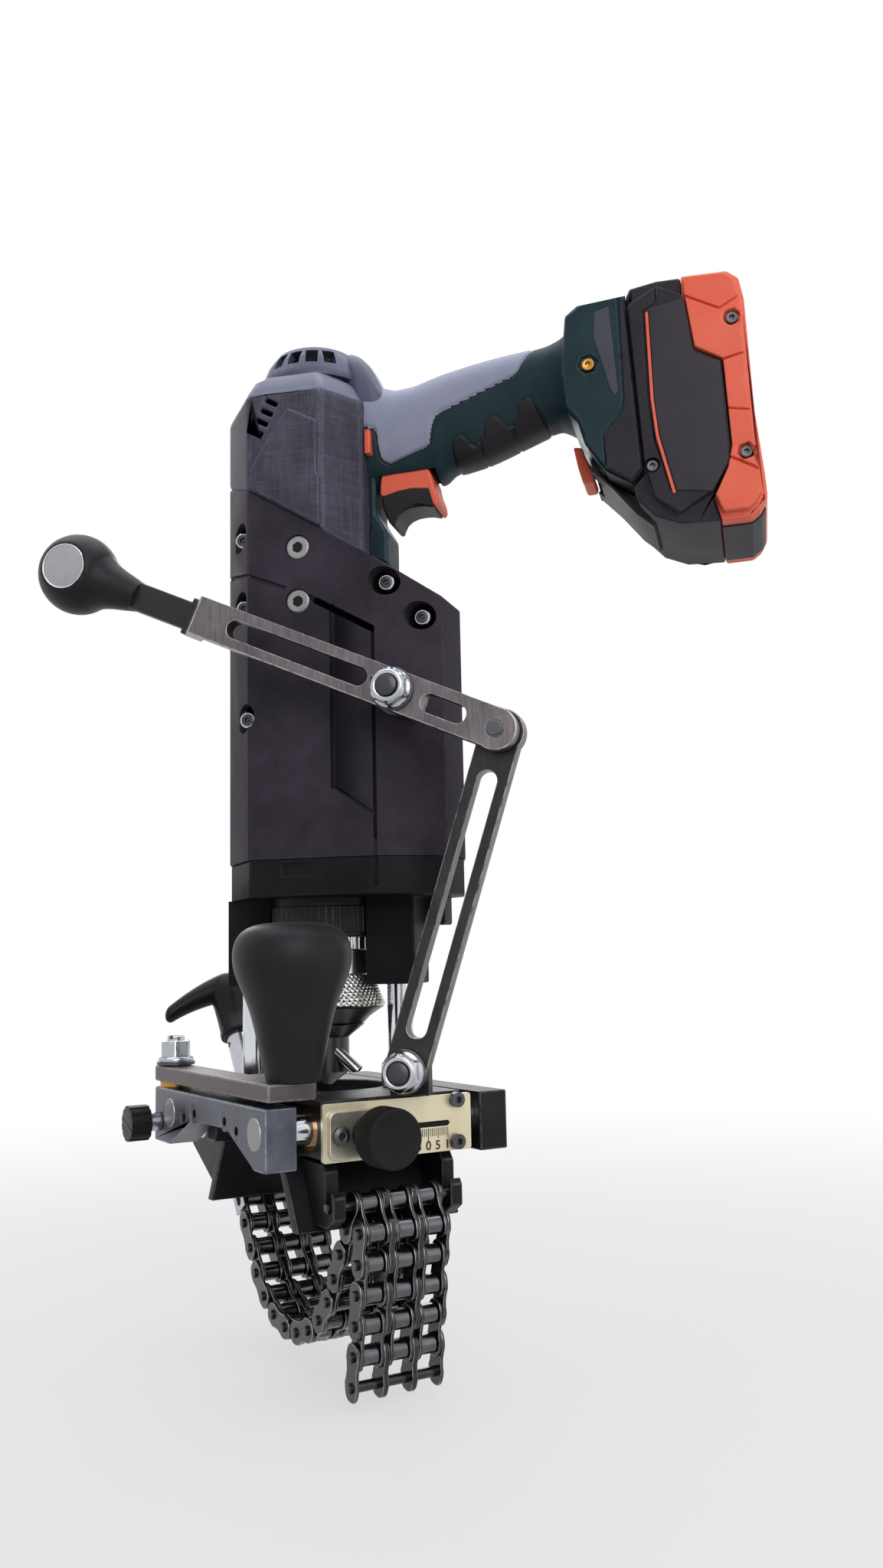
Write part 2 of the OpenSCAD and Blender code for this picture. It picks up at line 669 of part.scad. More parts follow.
sway_slot_ang = atan2(drive_pin_x - pivot_x, pivot_y - drive_pin_y);
sway_slot_arm = norm([drive_pin_x - pivot_x, pivot_y - drive_pin_y]);
sway_slot_w = drive_pin_d + 3 * slip;
sway_slot_run = 4;
sway_ear = [[sway_left + sway_w - 1, drive_pin_y - 13], [drive_pin_x + 7, drive_pin_y - 13], [drive_pin_x + 7, drive_pin_y + 5],
    [drive_pin_x + 2.5, drive_pin_y + 10.5], [sway_left + sway_w - 1, drive_pin_y + 10.5]];
module sway_lever() {
    color("#6a675f") difference() {
        translate([0, 0, sway_z]) union() {
            translate([sway_left, sway_front, 0]) cube([sway_w, pivot_y + 8 - sway_front, sway_t]);
            translate([sway_left, sway_front, 0]) cube([sway_head_w, 22, sway_t]);
            linear_extrude(sway_t) polygon(sway_ear);
        }
        translate([pivot_x, pivot_y, sway_z - 1]) cylinder(d = pivot_d + 2 * run_gap, h = sway_t + 2);
        translate([pivot_x, pivot_y, sway_z - 1]) rotate([0, 0, sway_slot_ang]) {
            for (y = [-sway_slot_run, sway_slot_run]) translate([0, y - sway_slot_arm, 0])
                cylinder(d = sway_slot_w, h = sway_t + 2);
            translate([-sway_slot_w / 2, -sway_slot_run - sway_slot_arm, 0]) cube([sway_slot_w, 2 * sway_slot_run, sway_t + 2]);
        }
    }
}
module sway_grip() {
    base_z = sway_z + sway_t;
    r = bulb_d / 2;
    color("#232224") translate([bulb_x, bulb_y, base_z]) rotate_extrude($fn = 64) polygon(concat(
        [[0, 0]], [for (p = bulb_profile) [r * p[0], bulb_h * p[1]]], [[0, bulb_h]]));
}
module sway_pivot_bolt() {
    lever_top = sway_z + sway_t;
    color("#c7c9cd") difference() {
        translate([pivot_x, pivot_y, bar_z + 2]) union() {
            cylinder(d = pivot_d, h = lever_top + 14.5 - bar_z - 2);
            translate([0, 0, lever_top + 0.3 - bar_z - 2]) cylinder(d = 18, h = 4.2);
            translate([0, 0, lever_top + 4.5 - bar_z - 2 - eps]) cylinder(d = 15.6, h = 8, $fn = 6);
        }
        translate([pivot_x - pivot_d, pivot_y - 0.9, lever_top + 13]) cube([2 * pivot_d, 1.8, 3]);
    }
}
module sway_bush() {
    color("#b58a3c") translate([pivot_x, pivot_y, bar_top]) difference() {
        cylinder(d = pivot_d + 5, h = sway_z - bar_top - run_gap);
        translate([0, 0, -1]) cylinder(d = pivot_d + 2 * run_gap, h = sway_z);
    }
}
module lock_knob() {
    color("#1c1c1e") translate([-bar_outer, lock_y, lock_z]) rotate([0, 0, 180]) {
        translate([-2, 0, 0]) along_x(lock_thread_d, 3);
        translate([slip, 0, 0]) along_x(lock_stem_d, lock_stem_len);
        translate([lock_stem_len, 0, 0]) difference() {
            along_x(lock_d, lock_len);
            for (a = [0 : 30 : 330]) rotate([a, 0, 0]) translate([-1, 0, lock_d / 2 + 0.5]) along_x(2.4, lock_len + 2);
        }
    }
}

// Slide table with its columns, scale and stop

module slide_table() {
    housing_z = rod_z - housing_r;
    housing_in = rod_y - housing_r;
    color("#1a1a1c") difference() {
        union() {
            translate([-table_x, -table_y, table_z]) cube([2 * table_x, 2 * table_y, table_t]);
            for (s = [-1, 1]) translate([-table_x, s > 0 ? housing_in : -table_y, housing_z])
                cube([2 * table_x, table_y - housing_in, table_z - housing_z + eps]);
            in_drive() for (s = [-1, 1]) translate([s * column_x, 0, table_z]) cylinder(r = boss_r, h = boss_top - table_z);
        }
        translate([0, 0, table_z - 1]) cylinder(r = table_hole_r, h = boss_top);
        in_drive() for (s = [-1, 1]) translate([s * column_x, 0, table_z - 1])
            cylinder(d = column_d + 2 * run_gap, h = boss_top);
        for (s = [-1, 1]) translate([-table_x - 1, s * rod_y, rod_z]) {
            along_x(rod_d + 2, 2 * table_x + 2);
            along_x(2 * bush_r + 2 * run_gap, bush_len + 1);
            translate([2 * table_x + 1 - bush_len, 0, 0]) along_x(2 * bush_r + 2 * run_gap, bush_len + 2);
        }
        translate([-slot_half - 2, -table_y - 1, stop_z - slot_h / 2 - 1]) cube([2 * slot_half + 4, 2.8, slot_h + 2]);
        for (z = [-1, 1]) translate([plate_screw_x - 5, -table_y - 1, rod_z + z * 9]) along_y(3 + 2 * run_gap, 7);
        translate([drive_pin_x, drive_pin_y, table_z - 1]) cylinder(d = drive_pin_d - 2 + 2 * run_gap, h = table_t + 2);
        in_drive() for (p = bracket_screws) translate([p[0], p[1], table_z + 2])
            cylinder(d = bracket_screw_d + 2 * run_gap, h = boss_top);
    }
}
module slide_bushes() {
    color("#b07f3a") for (s = [-1, 1], x = [-table_x, table_x - bush_len]) translate([x, s * rod_y, rod_z]) difference() {
        along_x(2 * bush_r, bush_len);
        translate([-1, 0, 0]) along_x(rod_d + 2 * run_gap, bush_len + 2);
    }
}
module guide_columns() {
    color("#ced0d4") in_drive() for (s = [-1, 1]) translate([s * column_x, 0, table_z])
        cylinder(d = column_d, h = column_top - table_z);
}
module scale_plate() {
    low = plate_top - plate_h;
    color("#d9cda6") difference() {
        translate([plate_mid - plate_w / 2, -plate_y, low]) cube([plate_w, plate_t, plate_h]);
        translate([0, 0, 0]) slot_y([-slot_half, stop_z], [slot_half, stop_z], slot_h, -plate_y - 1, -table_y + 1);
        for (z = [-1, 1]) translate([plate_screw_x - 5, -plate_y - 1, rod_z + z * 9]) along_y(3 + 2 * run_gap, plate_t + 2);
    }
}
module table_screws() {
    color("#2f3034") {
        for (z = [-1, 1]) translate([plate_screw_x - 5, -plate_y, rod_z + z * 9]) rotate([0, 0, 90])
            translate([-3, 0, 0]) socket_screw_x(3, plate_screw_d, 3 - run_gap, 10);
        in_drive() for (p = bracket_screws) translate([p[0], p[1], bracket_top]) rotate([0, 90, 0])
            translate([-3, 0, 0]) socket_screw_x(bracket_screw_d, 5.6, 3, bracket_top - table_z + 0.5);
    }
}
module link_bracket() {
    color("#19191b") in_drive() difference() {
        plan_block(bracket_plan, table_top, bracket_top);
        translate([stud_x, -bracket_front - 1, bolt_z]) along_y(bolt_d + 2 * run_gap, bracket_front - bolt_back + 1);
        for (p = bracket_screws) translate([p[0], p[1], table_top - 1])
            cylinder(d = bracket_screw_d + 2 * run_gap, h = bracket_top);
    }
}
module link_bolt() {
    color("#c9cbcf") in_drive() translate([stud_x, 0, bolt_z]) {
        translate([0, -link_front - 9, 0]) along_y(bolt_d, link_front + 9 - bolt_back - slip);
        translate([0, -link_front - 2 - slip, 0]) along_y(19, 2);
        translate([0, -link_front - 2 - slip - 5.5, 0]) rotate([-90, 0, 0]) cylinder(d = 17.6, h = 5.5 + eps, $fn = 6);
    }
}
module drive_pin() {
    color("#8f9196") translate([drive_pin_x, drive_pin_y, table_z + 0.5]) {
        cylinder(d = drive_pin_d - 2, h = table_t);
        translate([0, 0, table_t - 0.5 + eps]) cylinder(d = drive_pin_d, h = drive_pin_top - table_top);
    }
}
module stop_plate() {
    color("#cfc9b4") {
        difference() {
            translate([stop_mid_x - stop_w / 2, -stop_y, stop_z - stop_h / 2]) cube([stop_w, stop_t - run_gap, stop_h]);
            translate([stop_axis_x, -stop_y - 1, stop_z]) along_y(stop_stem_d + 2 * run_gap, stop_t + 2);
            translate([stop_screw_x, -stop_y - 1, stop_z]) along_y(4 + 2 * run_gap, stop_t + 2);
        }
        translate([stop_screw_x, -stop_y, stop_z]) rotate([0, 0, 90]) translate([-3, 0, 0])
            socket_screw_x(4, 7.5, 3 - run_gap, stop_t + 2.7);
    }
}
module stop_knob() {
    neck_y = -stop_y - slip;
    head_y = neck_y - stop_neck_len;
    color("#1a1a1b") translate([stop_axis_x, 0, stop_z]) {
        translate([0, head_y, 0]) along_y(stop_stem_d, -head_y - table_y + 1);
        translate([0, head_y, 0]) along_y(stop_neck_d, stop_neck_len);
        translate([0, head_y - stop_knob_len, 0]) difference() {
            along_y(stop_knob_d, stop_knob_len);
            for (a = [0 : 10 : 350]) rotate([0, a, 0]) translate([stop_knob_d / 2 + 0.35, 3, 0]) along_y(1.6, stop_knob_len);
        }
    }
}

// Drive unit shells

module shell_body(d) {
    intersection() {
        plan_block(inset(case_plan, d), seam_z, slant_at(-48) + 5);
        under_slant(d);
    }
}
module shell_cavity() {
    shell_body(wall);
    cylinder(r = motor_hole_r, h = big);
    translate([0, 0, seam_z - 1]) linear_extrude(wall) polygon(inset(case_plan, wall));
}
// Shallow groove in the front skin between two points
module groove(a, b, w) {
    difference() {
        translate([a[0], -big / 4, a[1]]) rotate([0, -atan2(b[1] - a[1], b[0] - a[0]), 0])
            translate([-w / 2, 0, -w / 2]) cube([norm(b - a) + w, big / 4 - 5, w]);
        shell_body(groove_depth);
    }
}
module front_casing() {
    color("#2a292b") in_drive() difference() {
        intersection() {
            shell_body(0);
            translate([-big / 2, -big / 2, 0]) cube([big, big / 2 - run_gap, big]);
        }
        shell_cavity();
        for (p = flat_screws) translate([p[0], -case_front - 1, p[1]]) {
            along_y(flat_head_d + 2 * run_gap, flat_head_h + 1 - 1.2);
            along_y(5 + 2 * run_gap, 20);
        }
        for (p = sunk_screws) translate([p[0], 0, p[1]]) {
            translate([0, p[2] - 30, 0]) along_y(sunk_hole_d, 30);
            translate([0, p[2] - eps, 0]) along_y(5 + 2 * run_gap, 12);
        }
        translate([stud_x, -case_front, stud_z]) along_y(stud_d + 2 * run_gap, 30);
        for (g = case_grooves) groove(g[0], g[1], g[2]);
    }
}
module rear_casing() {
    color("#2a292b") in_drive() difference() {
        union() {
            intersection() {
                shell_body(0);
                translate([-big / 2, run_gap, 0]) cube([big, big / 2, big]);
            }
            translate([stud_x - 5.5, 14, stud_z - 8]) cube([11, 4, 16]);
        }
        shell_cavity();
    }
}
module casing_skirt() {
    low_plan = inset(case_plan, 0.8);
    color("#232224") in_drive() difference() {
        union() {
            plan_block(low_plan, skirt_z, seam_z - run_gap);
            for (b = boss_span) translate([b[0], -boss_half, sleeve_z])
                cube([b[1] - b[0], 2 * boss_half, skirt_z - sleeve_z + eps]);
            translate([45, 12, skirt_z - 13]) cube([11, 16, 13 + eps]);
        }
        translate([0, 0, skirt_z - big]) cylinder(r = torque_r + 0.8, h = 2 * big);
        translate([0, 0, skirt_z + 4]) cylinder(r = gear_r + 1.2, h = big);
        for (s = [-1, 1]) translate([s * column_x, 0, sleeve_z - 1]) cylinder(d = sleeve_d + 2 * run_gap, h = big);
        translate([-7, -case_front - 1, seam_z - 8]) cube([14, 3, 6]);
        slot_y([38, seam_z + 2], [38, skirt_z + 4], 1.4, -case_front - 2, -case_front + 2.4);
    }
}
module column_sleeves() {
    color("#a97d3e") in_drive() for (s = [-1, 1]) translate([s * column_x, 0, sleeve_z]) difference() {
        cylinder(d = sleeve_d, h = seam_z - sleeve_z);
        translate([0, 0, -1]) cylinder(d = column_d + 2 * run_gap, h = big);
    }
}
module cover_body(d) {
    union() {
        plan_block(inset(cover_plan, d), slant_z - 60, shoulder_z);
        hull() {
            plan_block(inset(cover_plan, d), shoulder_z - 1, shoulder_z);
            plan_block(inset(cover_plan, cover_taper * 0.4 + d), shoulder_z + 8 - d, shoulder_z + 9 - d);
            plan_block(inset(cover_plan, cover_taper + d), cover_top - d - 1, cover_top - d);
        }
    }
}
module motor_cover() {
    color("#34353b") in_drive() difference() {
        cover_body(0);
        cover_body(wall);
        under_slant(-run_gap);
        translate([0, 0, cover_top - 20]) cylinder(r = 23, h = 30);
        for (i = [0 : 3]) translate(vent_at + i * vent_step) rotate([0, 30, 0]) cube([vent_len, 20, 2.4]);
        translate([cover_side - wall - 1, -13, 362]) cube([wall + 2, 26, 28]);
    }
}
module vent_cap() {
    color("#4a4c58") in_drive() translate([cap_x, 0, 0]) difference() {
        rotate_extrude() polygon([[0, cover_top], [cap_r, cover_top], [cap_r, cover_top + 2.5], [cap_r - 3.5, cover_top + 11],
            [cap_r - 8, cap_top - 2.5], [cap_r - 14, cap_top - 0.5], [0, cap_top]]);
        rotate_extrude() polygon([[0, cover_top - 1], [cap_r - 4, cover_top - 1], [cap_r - 8, cover_top + 11], [cap_r - 13, cap_top - 5],
            [0, cap_top - 4]]);
        for (a = [-118, -97, -76, -55, 55, 76, 97, 118]) rotate([0, 0, a]) translate([10, -3, cover_top + 7])
            cube([30, 6, 8]);
    }
}
// One rounded station of the grip
module grip_station(s, grow) {
    h = s[2] - s[1];
    for (y = [-1, 1], z = [s[1] + grip_round - grow, s[2] - grip_round + grow])
        translate([s[0], y * (grip_w / 2 - grip_round + grow), z]) along_x(2 * grip_round, 1, $fn = 32);
}
module grip_run(first, last, grow) {
    for (i = [first : last - 1]) hull() {
        grip_station(grip_stations[i], grow);
        grip_station(grip_stations[i + 1], grow);
    }
}
module trigger_pocket() {
    prism_y([[30, 349], [61.6, 349], [61.6, 366.5], [30, 366.5]], -trigger_w / 2 - slip, trigger_w / 2 + slip);
}
// Grip body with the front flange and the finger stop under it
module handle_core(first) {
    grip_run(first, 4, 0);
    prism_y([[cover_side, 313], [37, 307.5], [37, 324], [30.5, 334], [30.5, 356], [cover_side, 356]], -11, 11);
    prism_y([[58, 362], [62, 348], [66, 356], [72, 362]], -9, 9);
}
module handle_shell() {
    color("#1f3b41") in_drive() difference() {
        handle_core(0);
        trigger_pocket();
        prism_y([[switch_box[0][0] - slip, switch_box[0][1] - 2.2], [switch_box[1][0] + slip, switch_box[0][1] - 2.2],
            [switch_box[1][0] + slip, switch_box[1][1] + slip], [switch_box[0][0] - slip, switch_box[1][1] + slip]],
            -12 - slip, 12 + slip);
        translate([trigger_stem[0], 0, 355]) cylinder(d = 7, h = 14);
        translate([button_x - slip, -big / 4, button_z - button_h / 2 - slip])
            cube([button_t + 2 * slip, big / 2, button_h + 2 * slip]);
        prism_y(beyond_handle, -big / 4, big / 4);
    }
}
trigger_stem = [46, 0];
// Region beyond the handle end, where the foot begins
beyond_handle = [[127.5, 300], [127.5, 384], [130, 410], [130, 430], [200, 430], [200, 300]];
module handle_grip() {
    color("#161617") in_drive() difference() {
        intersection() {
            grip_run(2, 4, 1.6);
            prism_y([[68, 340], [124, 356], [124, 380], [112, 384], [106, 377], [98, 383], [92, 372], [84, 376], [78, 364],
                [68, 366]], -big / 4, big / 4);
        }
        handle_core(1);
    }
}
module battery_foot() {
    face = foot_w / 2;
    color("#22363a") in_drive() difference() {
        union() {
            prism_y(foot_outline, -face + 2.5, face - 2.5);
            prism_y(inset_outline(foot_outline, 1.6), -face, face);
            translate([rail_mid[0], 0, rail_mid[1]]) rotate([0, -slide_lean, 0]) union() {
                translate([-1, -rail_neck, -rail_len / 2]) cube([1 + rail_step + eps, 2 * rail_neck, rail_len]);
                translate([rail_step, -rail_head, -rail_len / 2]) cube([rail_step, 2 * rail_head, rail_len]);
            }
        }
        translate([120, -face - 1, 384]) along_y(4, 2 * face + 2);
        translate([140.6, -face - 1, 384]) along_y(5, 8);
    }
}
// Outline shrunk towards its middle, for the stepped edge of foot and battery
function middle(pts) = [for (k = [0, 1]) let (v = [for (p = pts) p[k]]) (max(v) + min(v)) / 2];
function inset_outline(pts, d) = let (c = middle(pts), r = max([for (p = pts) norm(p - c)]))
    [for (p = pts) c + (p - c) * (1 - d / r)];
module casing_screws() {
    color("#b5b6ba") in_drive() {
        for (p = flat_screws) translate([p[0], -case_front, p[1]]) rotate([0, 0, 90])
            translate([0.3, 0, 0]) socket_screw_x(5, flat_head_d, flat_head_h - 1.6, case_front - gear_r - 1.5);
        for (p = sunk_screws) translate([p[0], p[2] - 5, p[1]]) rotate([0, 0, 90])
            socket_screw_x(5, sunk_head_d, 5 - run_gap, sunk_len + 3);
    }
}
module lever_stud() {
    color("#c4c6ca") in_drive() translate([stud_x, 0, stud_z]) {
        translate([0, -lever_front - 11, 0]) along_y(stud_d - 2, lever_front + 11 - case_front + 6);
        translate([0, -lever_back + slip, 0]) along_y(20, lever_back - slip - case_front + 1);
        translate([0, -lever_back, 0]) along_y(stud_d, lever_back + 13.8);
        translate([0, -lever_front - slip - 2, 0]) along_y(19, 2);
        translate([0, -lever_front - slip - 8, 0]) rotate([-90, 0, 0]) cylinder(d = 17, h = 6 + eps, $fn = 6);
    }
}
module motor_stator() {
    color("#7a4a34") in_drive() difference() {
        translate([0, 0, rotor_z0]) cylinder(r = stator_r, h = rotor_z1 - rotor_z0);
        translate([0, 0, rotor_z0 - 1]) cylinder(r = rotor_r + slip, h = big);
    }
}
module gear_case() {
    color("#1e1e20") in_drive() difference() {
        union() {
            translate([0, 0, skirt_z + 4.2]) cylinder(r = gear_r, h = gear_top - skirt_z - 4.2);
            translate([0, 0, torque_z]) cylinder(r = torque_r - 1, h = skirt_z + 4.3 - torque_z);
            translate([0, 0, torque_z + 2]) difference() {
                cylinder(r = torque_r, h = 12);
                for (a = [0 : 7.5 : 352.5]) rotate([0, 0, a]) translate([torque_r + 0.3, 0, -1]) cylinder(d = 1.7, h = 14);
            }
            translate([0, 0, gear_top - eps]) cylinder(r = stator_r - 0.2, h = rotor_z0 - gear_top + eps);
        }
        translate([0, 0, torque_z - 1]) cylinder(d = spindle_d + 2 * run_gap, h = gear_top - 20 - torque_z);
        translate([0, 0, gear_top - 10]) cylinder(d = motor_shaft_d + 2 * run_gap, h = big);
    }
}
module switch_module() {
    color("#26262a") in_drive() difference() {
        prism_y([switch_box[0], [switch_box[1][0], switch_box[0][1]], switch_box[1], [switch_box[0][0], switch_box[1][1]]],
            -12, 12);
        translate([trigger_stem[0], 0, switch_box[0][1] - 1]) cylinder(d = 6 + 2 * slip, h = trigger_travel + 4);
    }
}

// Feed lever, link and their pins

// Lever frame: origin on the stud, +X towards the ball, +Z square to it
module in_lever() {
    in_drive() translate([stud_x, 0, stud_z]) rotate([0, 180 + lever_tilt, 0]) mirror([0, 0, 1]) children();
}
module feed_lever() {
    half = lever_w / 2;
    f = -lever_front;
    lean = lever_t * bend_back / norm([bend_run, bend_back]) * 0.8;
    color("#57504d") in_lever() difference() {
        union() {
            translate([0, 0, -half]) linear_extrude(lever_w) polygon([
                [-lever_arm, f], [bend_at, f], [bend_at + bend_run, f + bend_back], [bend_at + bend_run + 3, f + bend_back],
                [bend_at + bend_run + 3, f + bend_back + lever_t], [bend_at + bend_run - lean, f + bend_back + lever_t],
                [bend_at - lean, f + lever_t], [-lever_arm, f + lever_t]]);
            translate([-lever_arm, f, 0]) along_y(lever_w + 1, lever_t);
            translate([bend_at + bend_run, f + bend_back, -arm_w / 2]) cube([arm_end - bend_at - bend_run, lever_t, arm_w]);
        }
        translate([0, f - 1, 0]) along_y(stud_d + 2 * run_gap, lever_t + 2);
        translate([-lever_arm, f - 1, 0]) along_y(link_pin_d + 2 * run_gap, lever_t + 2);
        slot_y([17, 0], [80, 0], lever_slot_w, f - 1, f + lever_t + 1);
        slot_y([-31, 0], [-18, 0], lever_slot_w, f - 1, f + lever_t + 1);
    }
}
ball_v = -lever_front + bend_back + lever_t / 2;
module ball_knob() {
    r = ball_d / 2;
    cap_y = -sqrt(r * r - badge_r * badge_r);
    color("#1b1b1d") in_lever() translate([ball_arm, ball_v, 0]) {
        difference() {
            union() {
                sphere(d = ball_d, $fn = 64);
                translate([-r - 10, 0, 0]) rotate([0, 90, 0]) cylinder(d1 = arm_w + 4, d2 = ball_d * 0.76, h = r * 0.75 + 2);
            }
            translate([0, cap_y - r, 0]) along_y(2 * badge_r, r + 0.4);
            translate([-big / 2 - (ball_arm - arm_end), -lever_t / 2 - run_gap, -arm_w / 2 - run_gap])
                cube([big / 2 + run_gap, lever_t + 2 * run_gap, arm_w + 2 * run_gap]);
        }
        translate([0, cap_y - badge_t + 0.35, 0]) along_y(2 * badge_r - 0.4, badge_t);
    }
}
module link_pin() {
    color("#c6c8cc") in_drive() translate([pin_x, 0, pin_z]) {
        translate([0, -lever_front - 1.5, 0]) along_y(link_pin_d - 2, 2);
        translate([0, -lever_front, 0]) along_y(link_pin_d, lever_front - link_back + 2);
        translate([0, -link_back + slip, 0]) along_y(link_pin_d + 6, 2);
    }
}
module feed_link() {
    eye = [pin_x + eye_shift, pin_z];
    foot = [stud_x, bolt_z];
    dir = (eye - foot) / norm(eye - foot);
    run = norm(eye - foot);
    color("#57504d") in_drive() difference() {
        union() {
            slot_y(foot, eye, link_w, -link_front, -link_back);
            translate([eye[0], -link_front, eye[1]]) along_y(link_end_d, lever_t);
        }
        translate([foot[0], -link_front - 1, foot[1]]) along_y(bolt_d + 2 * run_gap, lever_t + 2);
        slot_y(eye + [eye_slot[0], 0], eye + [eye_slot[1], 0], eye_d, -link_front - 1, -link_back + 1);
        slot_y(foot + dir * 19, foot + dir * (run - 22), link_slot_w, -link_front - 1, -link_back + 1);
    }
}

// Spindle line

module spindle() {
    color("#9a9ca1") in_drive() {
        translate([0, 0, head_top]) cylinder(d = spindle_d, h = gear_top - 24 - head_top);
        translate([0, 0, torque_z - 6]) difference() {
            cylinder(r = 23, h = 5.6);
            for (a = [0 : 10 : 350]) rotate([0, 0, a]) translate([23.4, 0, -1]) cylinder(d = 1.8, h = 8);
        }
    }
}
module chuck_sleeve() {
    color("#c9c9c6") in_drive() translate([0, 0, chuck_z]) difference() {
        union() {
            cylinder(r1 = chuck_r, r2 = chuck_r - 4.5, h = 12);
            translate([0, 0, 12 - eps]) cylinder(r = chuck_r - 7, h = torque_z - 6.1 - chuck_z - 12);
            translate([0, 0, -4]) cylinder(r1 = chuck_r - 8, r2 = chuck_r - 1.5, h = 4 + eps);
        }
        translate([0, 0, -9]) cylinder(d = spindle_d + 2 * run_gap, h = torque_z - chuck_z + 10);
    }
}
module form_axis(side) {
    translate([0, side * form_off, head_low + form_rise]) rotate([0, 90 + (90 - form_lean), side > 0 ? 180 : 0]) children();
}
module collaring_head() {
    color("#3b3b3e") in_drive() difference() {
        union() {
            translate([0, 0, head_low]) cylinder(r = head_r, h = head_top - head_low);
            translate([0, 0, head_top - 6]) cylinder(r1 = head_r, r2 = 18, h = 5.9);
            translate([0, 0, tip_low]) cylinder(r1 = 2.5, r2 = head_r, h = head_low - tip_low + eps);
        }
        for (s = [-1, 1]) form_axis(s) translate([0, 0, form_out - form_len / 2 - 6]) cylinder(d = form_d + 2 * run_gap, h = 40);
    }
}
module forming_pin(side) {
    color("#d9d6d0") in_drive() form_axis(side) translate([0, 0, -form_len / 2 + form_out]) difference() {
        cylinder(d = form_d, h = form_len);
        translate([0, 0, form_len]) rotate([0, 45, 0]) translate([0, -form_d, 0]) cube([form_d, 2 * form_d, form_d], center = false);
    }
}
module forming_pin_a() { forming_pin(-1); }
module forming_pin_b() { forming_pin(1); }
module motor_rotor() {
    color("#8a8c91") in_drive() {
        translate([0, 0, rotor_z0 + 1]) cylinder(r = rotor_r, h = rotor_z1 - rotor_z0 - 1);
        translate([0, 0, gear_top - 9]) cylinder(d = motor_shaft_d, h = rotor_z0 - gear_top + 11);
    }
}

// Controls and battery

module trigger() {
    color("#d4553a") in_drive() {
        prism_y(trigger_outline, -trigger_w / 2, trigger_w / 2);
        translate([trigger_stem[0], 0, 354]) cylinder(d = 6, h = switch_box[0][1] - 354);
    }
}
module direction_button() {
    color("#c8402a") in_drive() translate([button_x, -button_len / 2, button_z - button_h / 2])
        cube([button_t, button_len, button_h]);
}
module battery_case() {
    half = battery_w / 2;
    rail_gap = 2 * slip;
    color("#2b2a2d") in_drive() difference() {
        union() {
            prism_y(case_outline, -half + 4, half - 4);
            prism_y(nose_outline, -nose_w / 2, nose_w / 2);
            prism_y([[164, 335], [159.5, 410], [172, 417], [184, 411], [187.5, 385], [199.5, 378], [201.5, 338], [199.5, 329],
                [193, 319], [178, 310], [168, 318]], -half, half);
        }
        translate([rail_mid[0], 0, rail_mid[1]]) rotate([0, -slide_lean, 0]) union() {
            translate([-4, -rail_neck - slip, -rail_len / 2 - slip]) cube([4 + rail_step + eps, 2 * (rail_neck + slip), 2 * rail_len]);
            translate([rail_step - slip, -rail_head - slip, -rail_len / 2 - slip])
                cube([rail_step + rail_gap, 2 * (rail_head + slip), 2 * rail_len]);
        }
        prism_y(release_pocket, -release_w / 2 - slip, release_w / 2 + slip);
        translate([131, 0, release_pin_z]) along_x(release_pin_d + 2 * run_gap, 8);
    }
}
release_pocket = [[120, 330], [133.5, 330], [133.5, 352], [120, 352]];
module battery_bumpers() {
    half = battery_w / 2 + 0.6;
    color("#dc5a40") in_drive() union() {
        prism_y(bumper_outline, -half + 4, half - 4);
        prism_y(bumper_side, -half, half);
    }
}
module release_button() {
    color("#d4452c") in_drive() {
        prism_y(release_outline, -release_w / 2, release_w / 2);
        translate([130.5, 0, release_pin_z]) along_x(release_pin_d, 6);
    }
}

saddle_block();
left_end_bar();
right_end_bar();
cross_rods();
base_screws();
leg_brackets();
chain_wrap();
tension_trunnion();
sway_pivot_bolt();
sway_bush();
tension_rod();
tee_handle();
tee_socket();
sway_lever();
sway_grip();
lock_knob();
slide_table();
guide_columns();
slide_bushes();
scale_plate();
table_screws();
link_bracket();
link_bolt();
drive_pin();
stop_plate();
stop_knob();
front_casing();
rear_casing();
casing_skirt();
column_sleeves();
motor_cover();
vent_cap();
handle_shell();
handle_grip();
battery_foot();
casing_screws();
lever_stud();
motor_stator();
gear_case();
switch_module();
feed_lever();
ball_knob();
link_pin();
feed_link();
spindle();
chuck_sleeve();
collaring_head();
motor_rotor();
forming_pin_a();
forming_pin_b();
trigger();
direction_button();
battery_case();
battery_bumpers();
release_button();
tail_link_1();
tail_link_2();
tail_link_3();
tail_link_4();
tail_link_5();
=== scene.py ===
# %% [markdown]
# # Pipe collaring machine
# A battery drive rides on two columns above a saddle with a clamping chain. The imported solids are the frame
# of this scene: they give every place and every moving body. This script dresses them with bevelled copies,
# real chain, knurls, soft panels and procedural finishes, all in the same frame in metres.

# %% Load the frame
import json
import math

import bmesh
import bpy
import numpy as np
from mathutils import Matrix, Vector
from mathutils.bvhtree import BVHTree
from mathutils.geometry import intersect_point_line


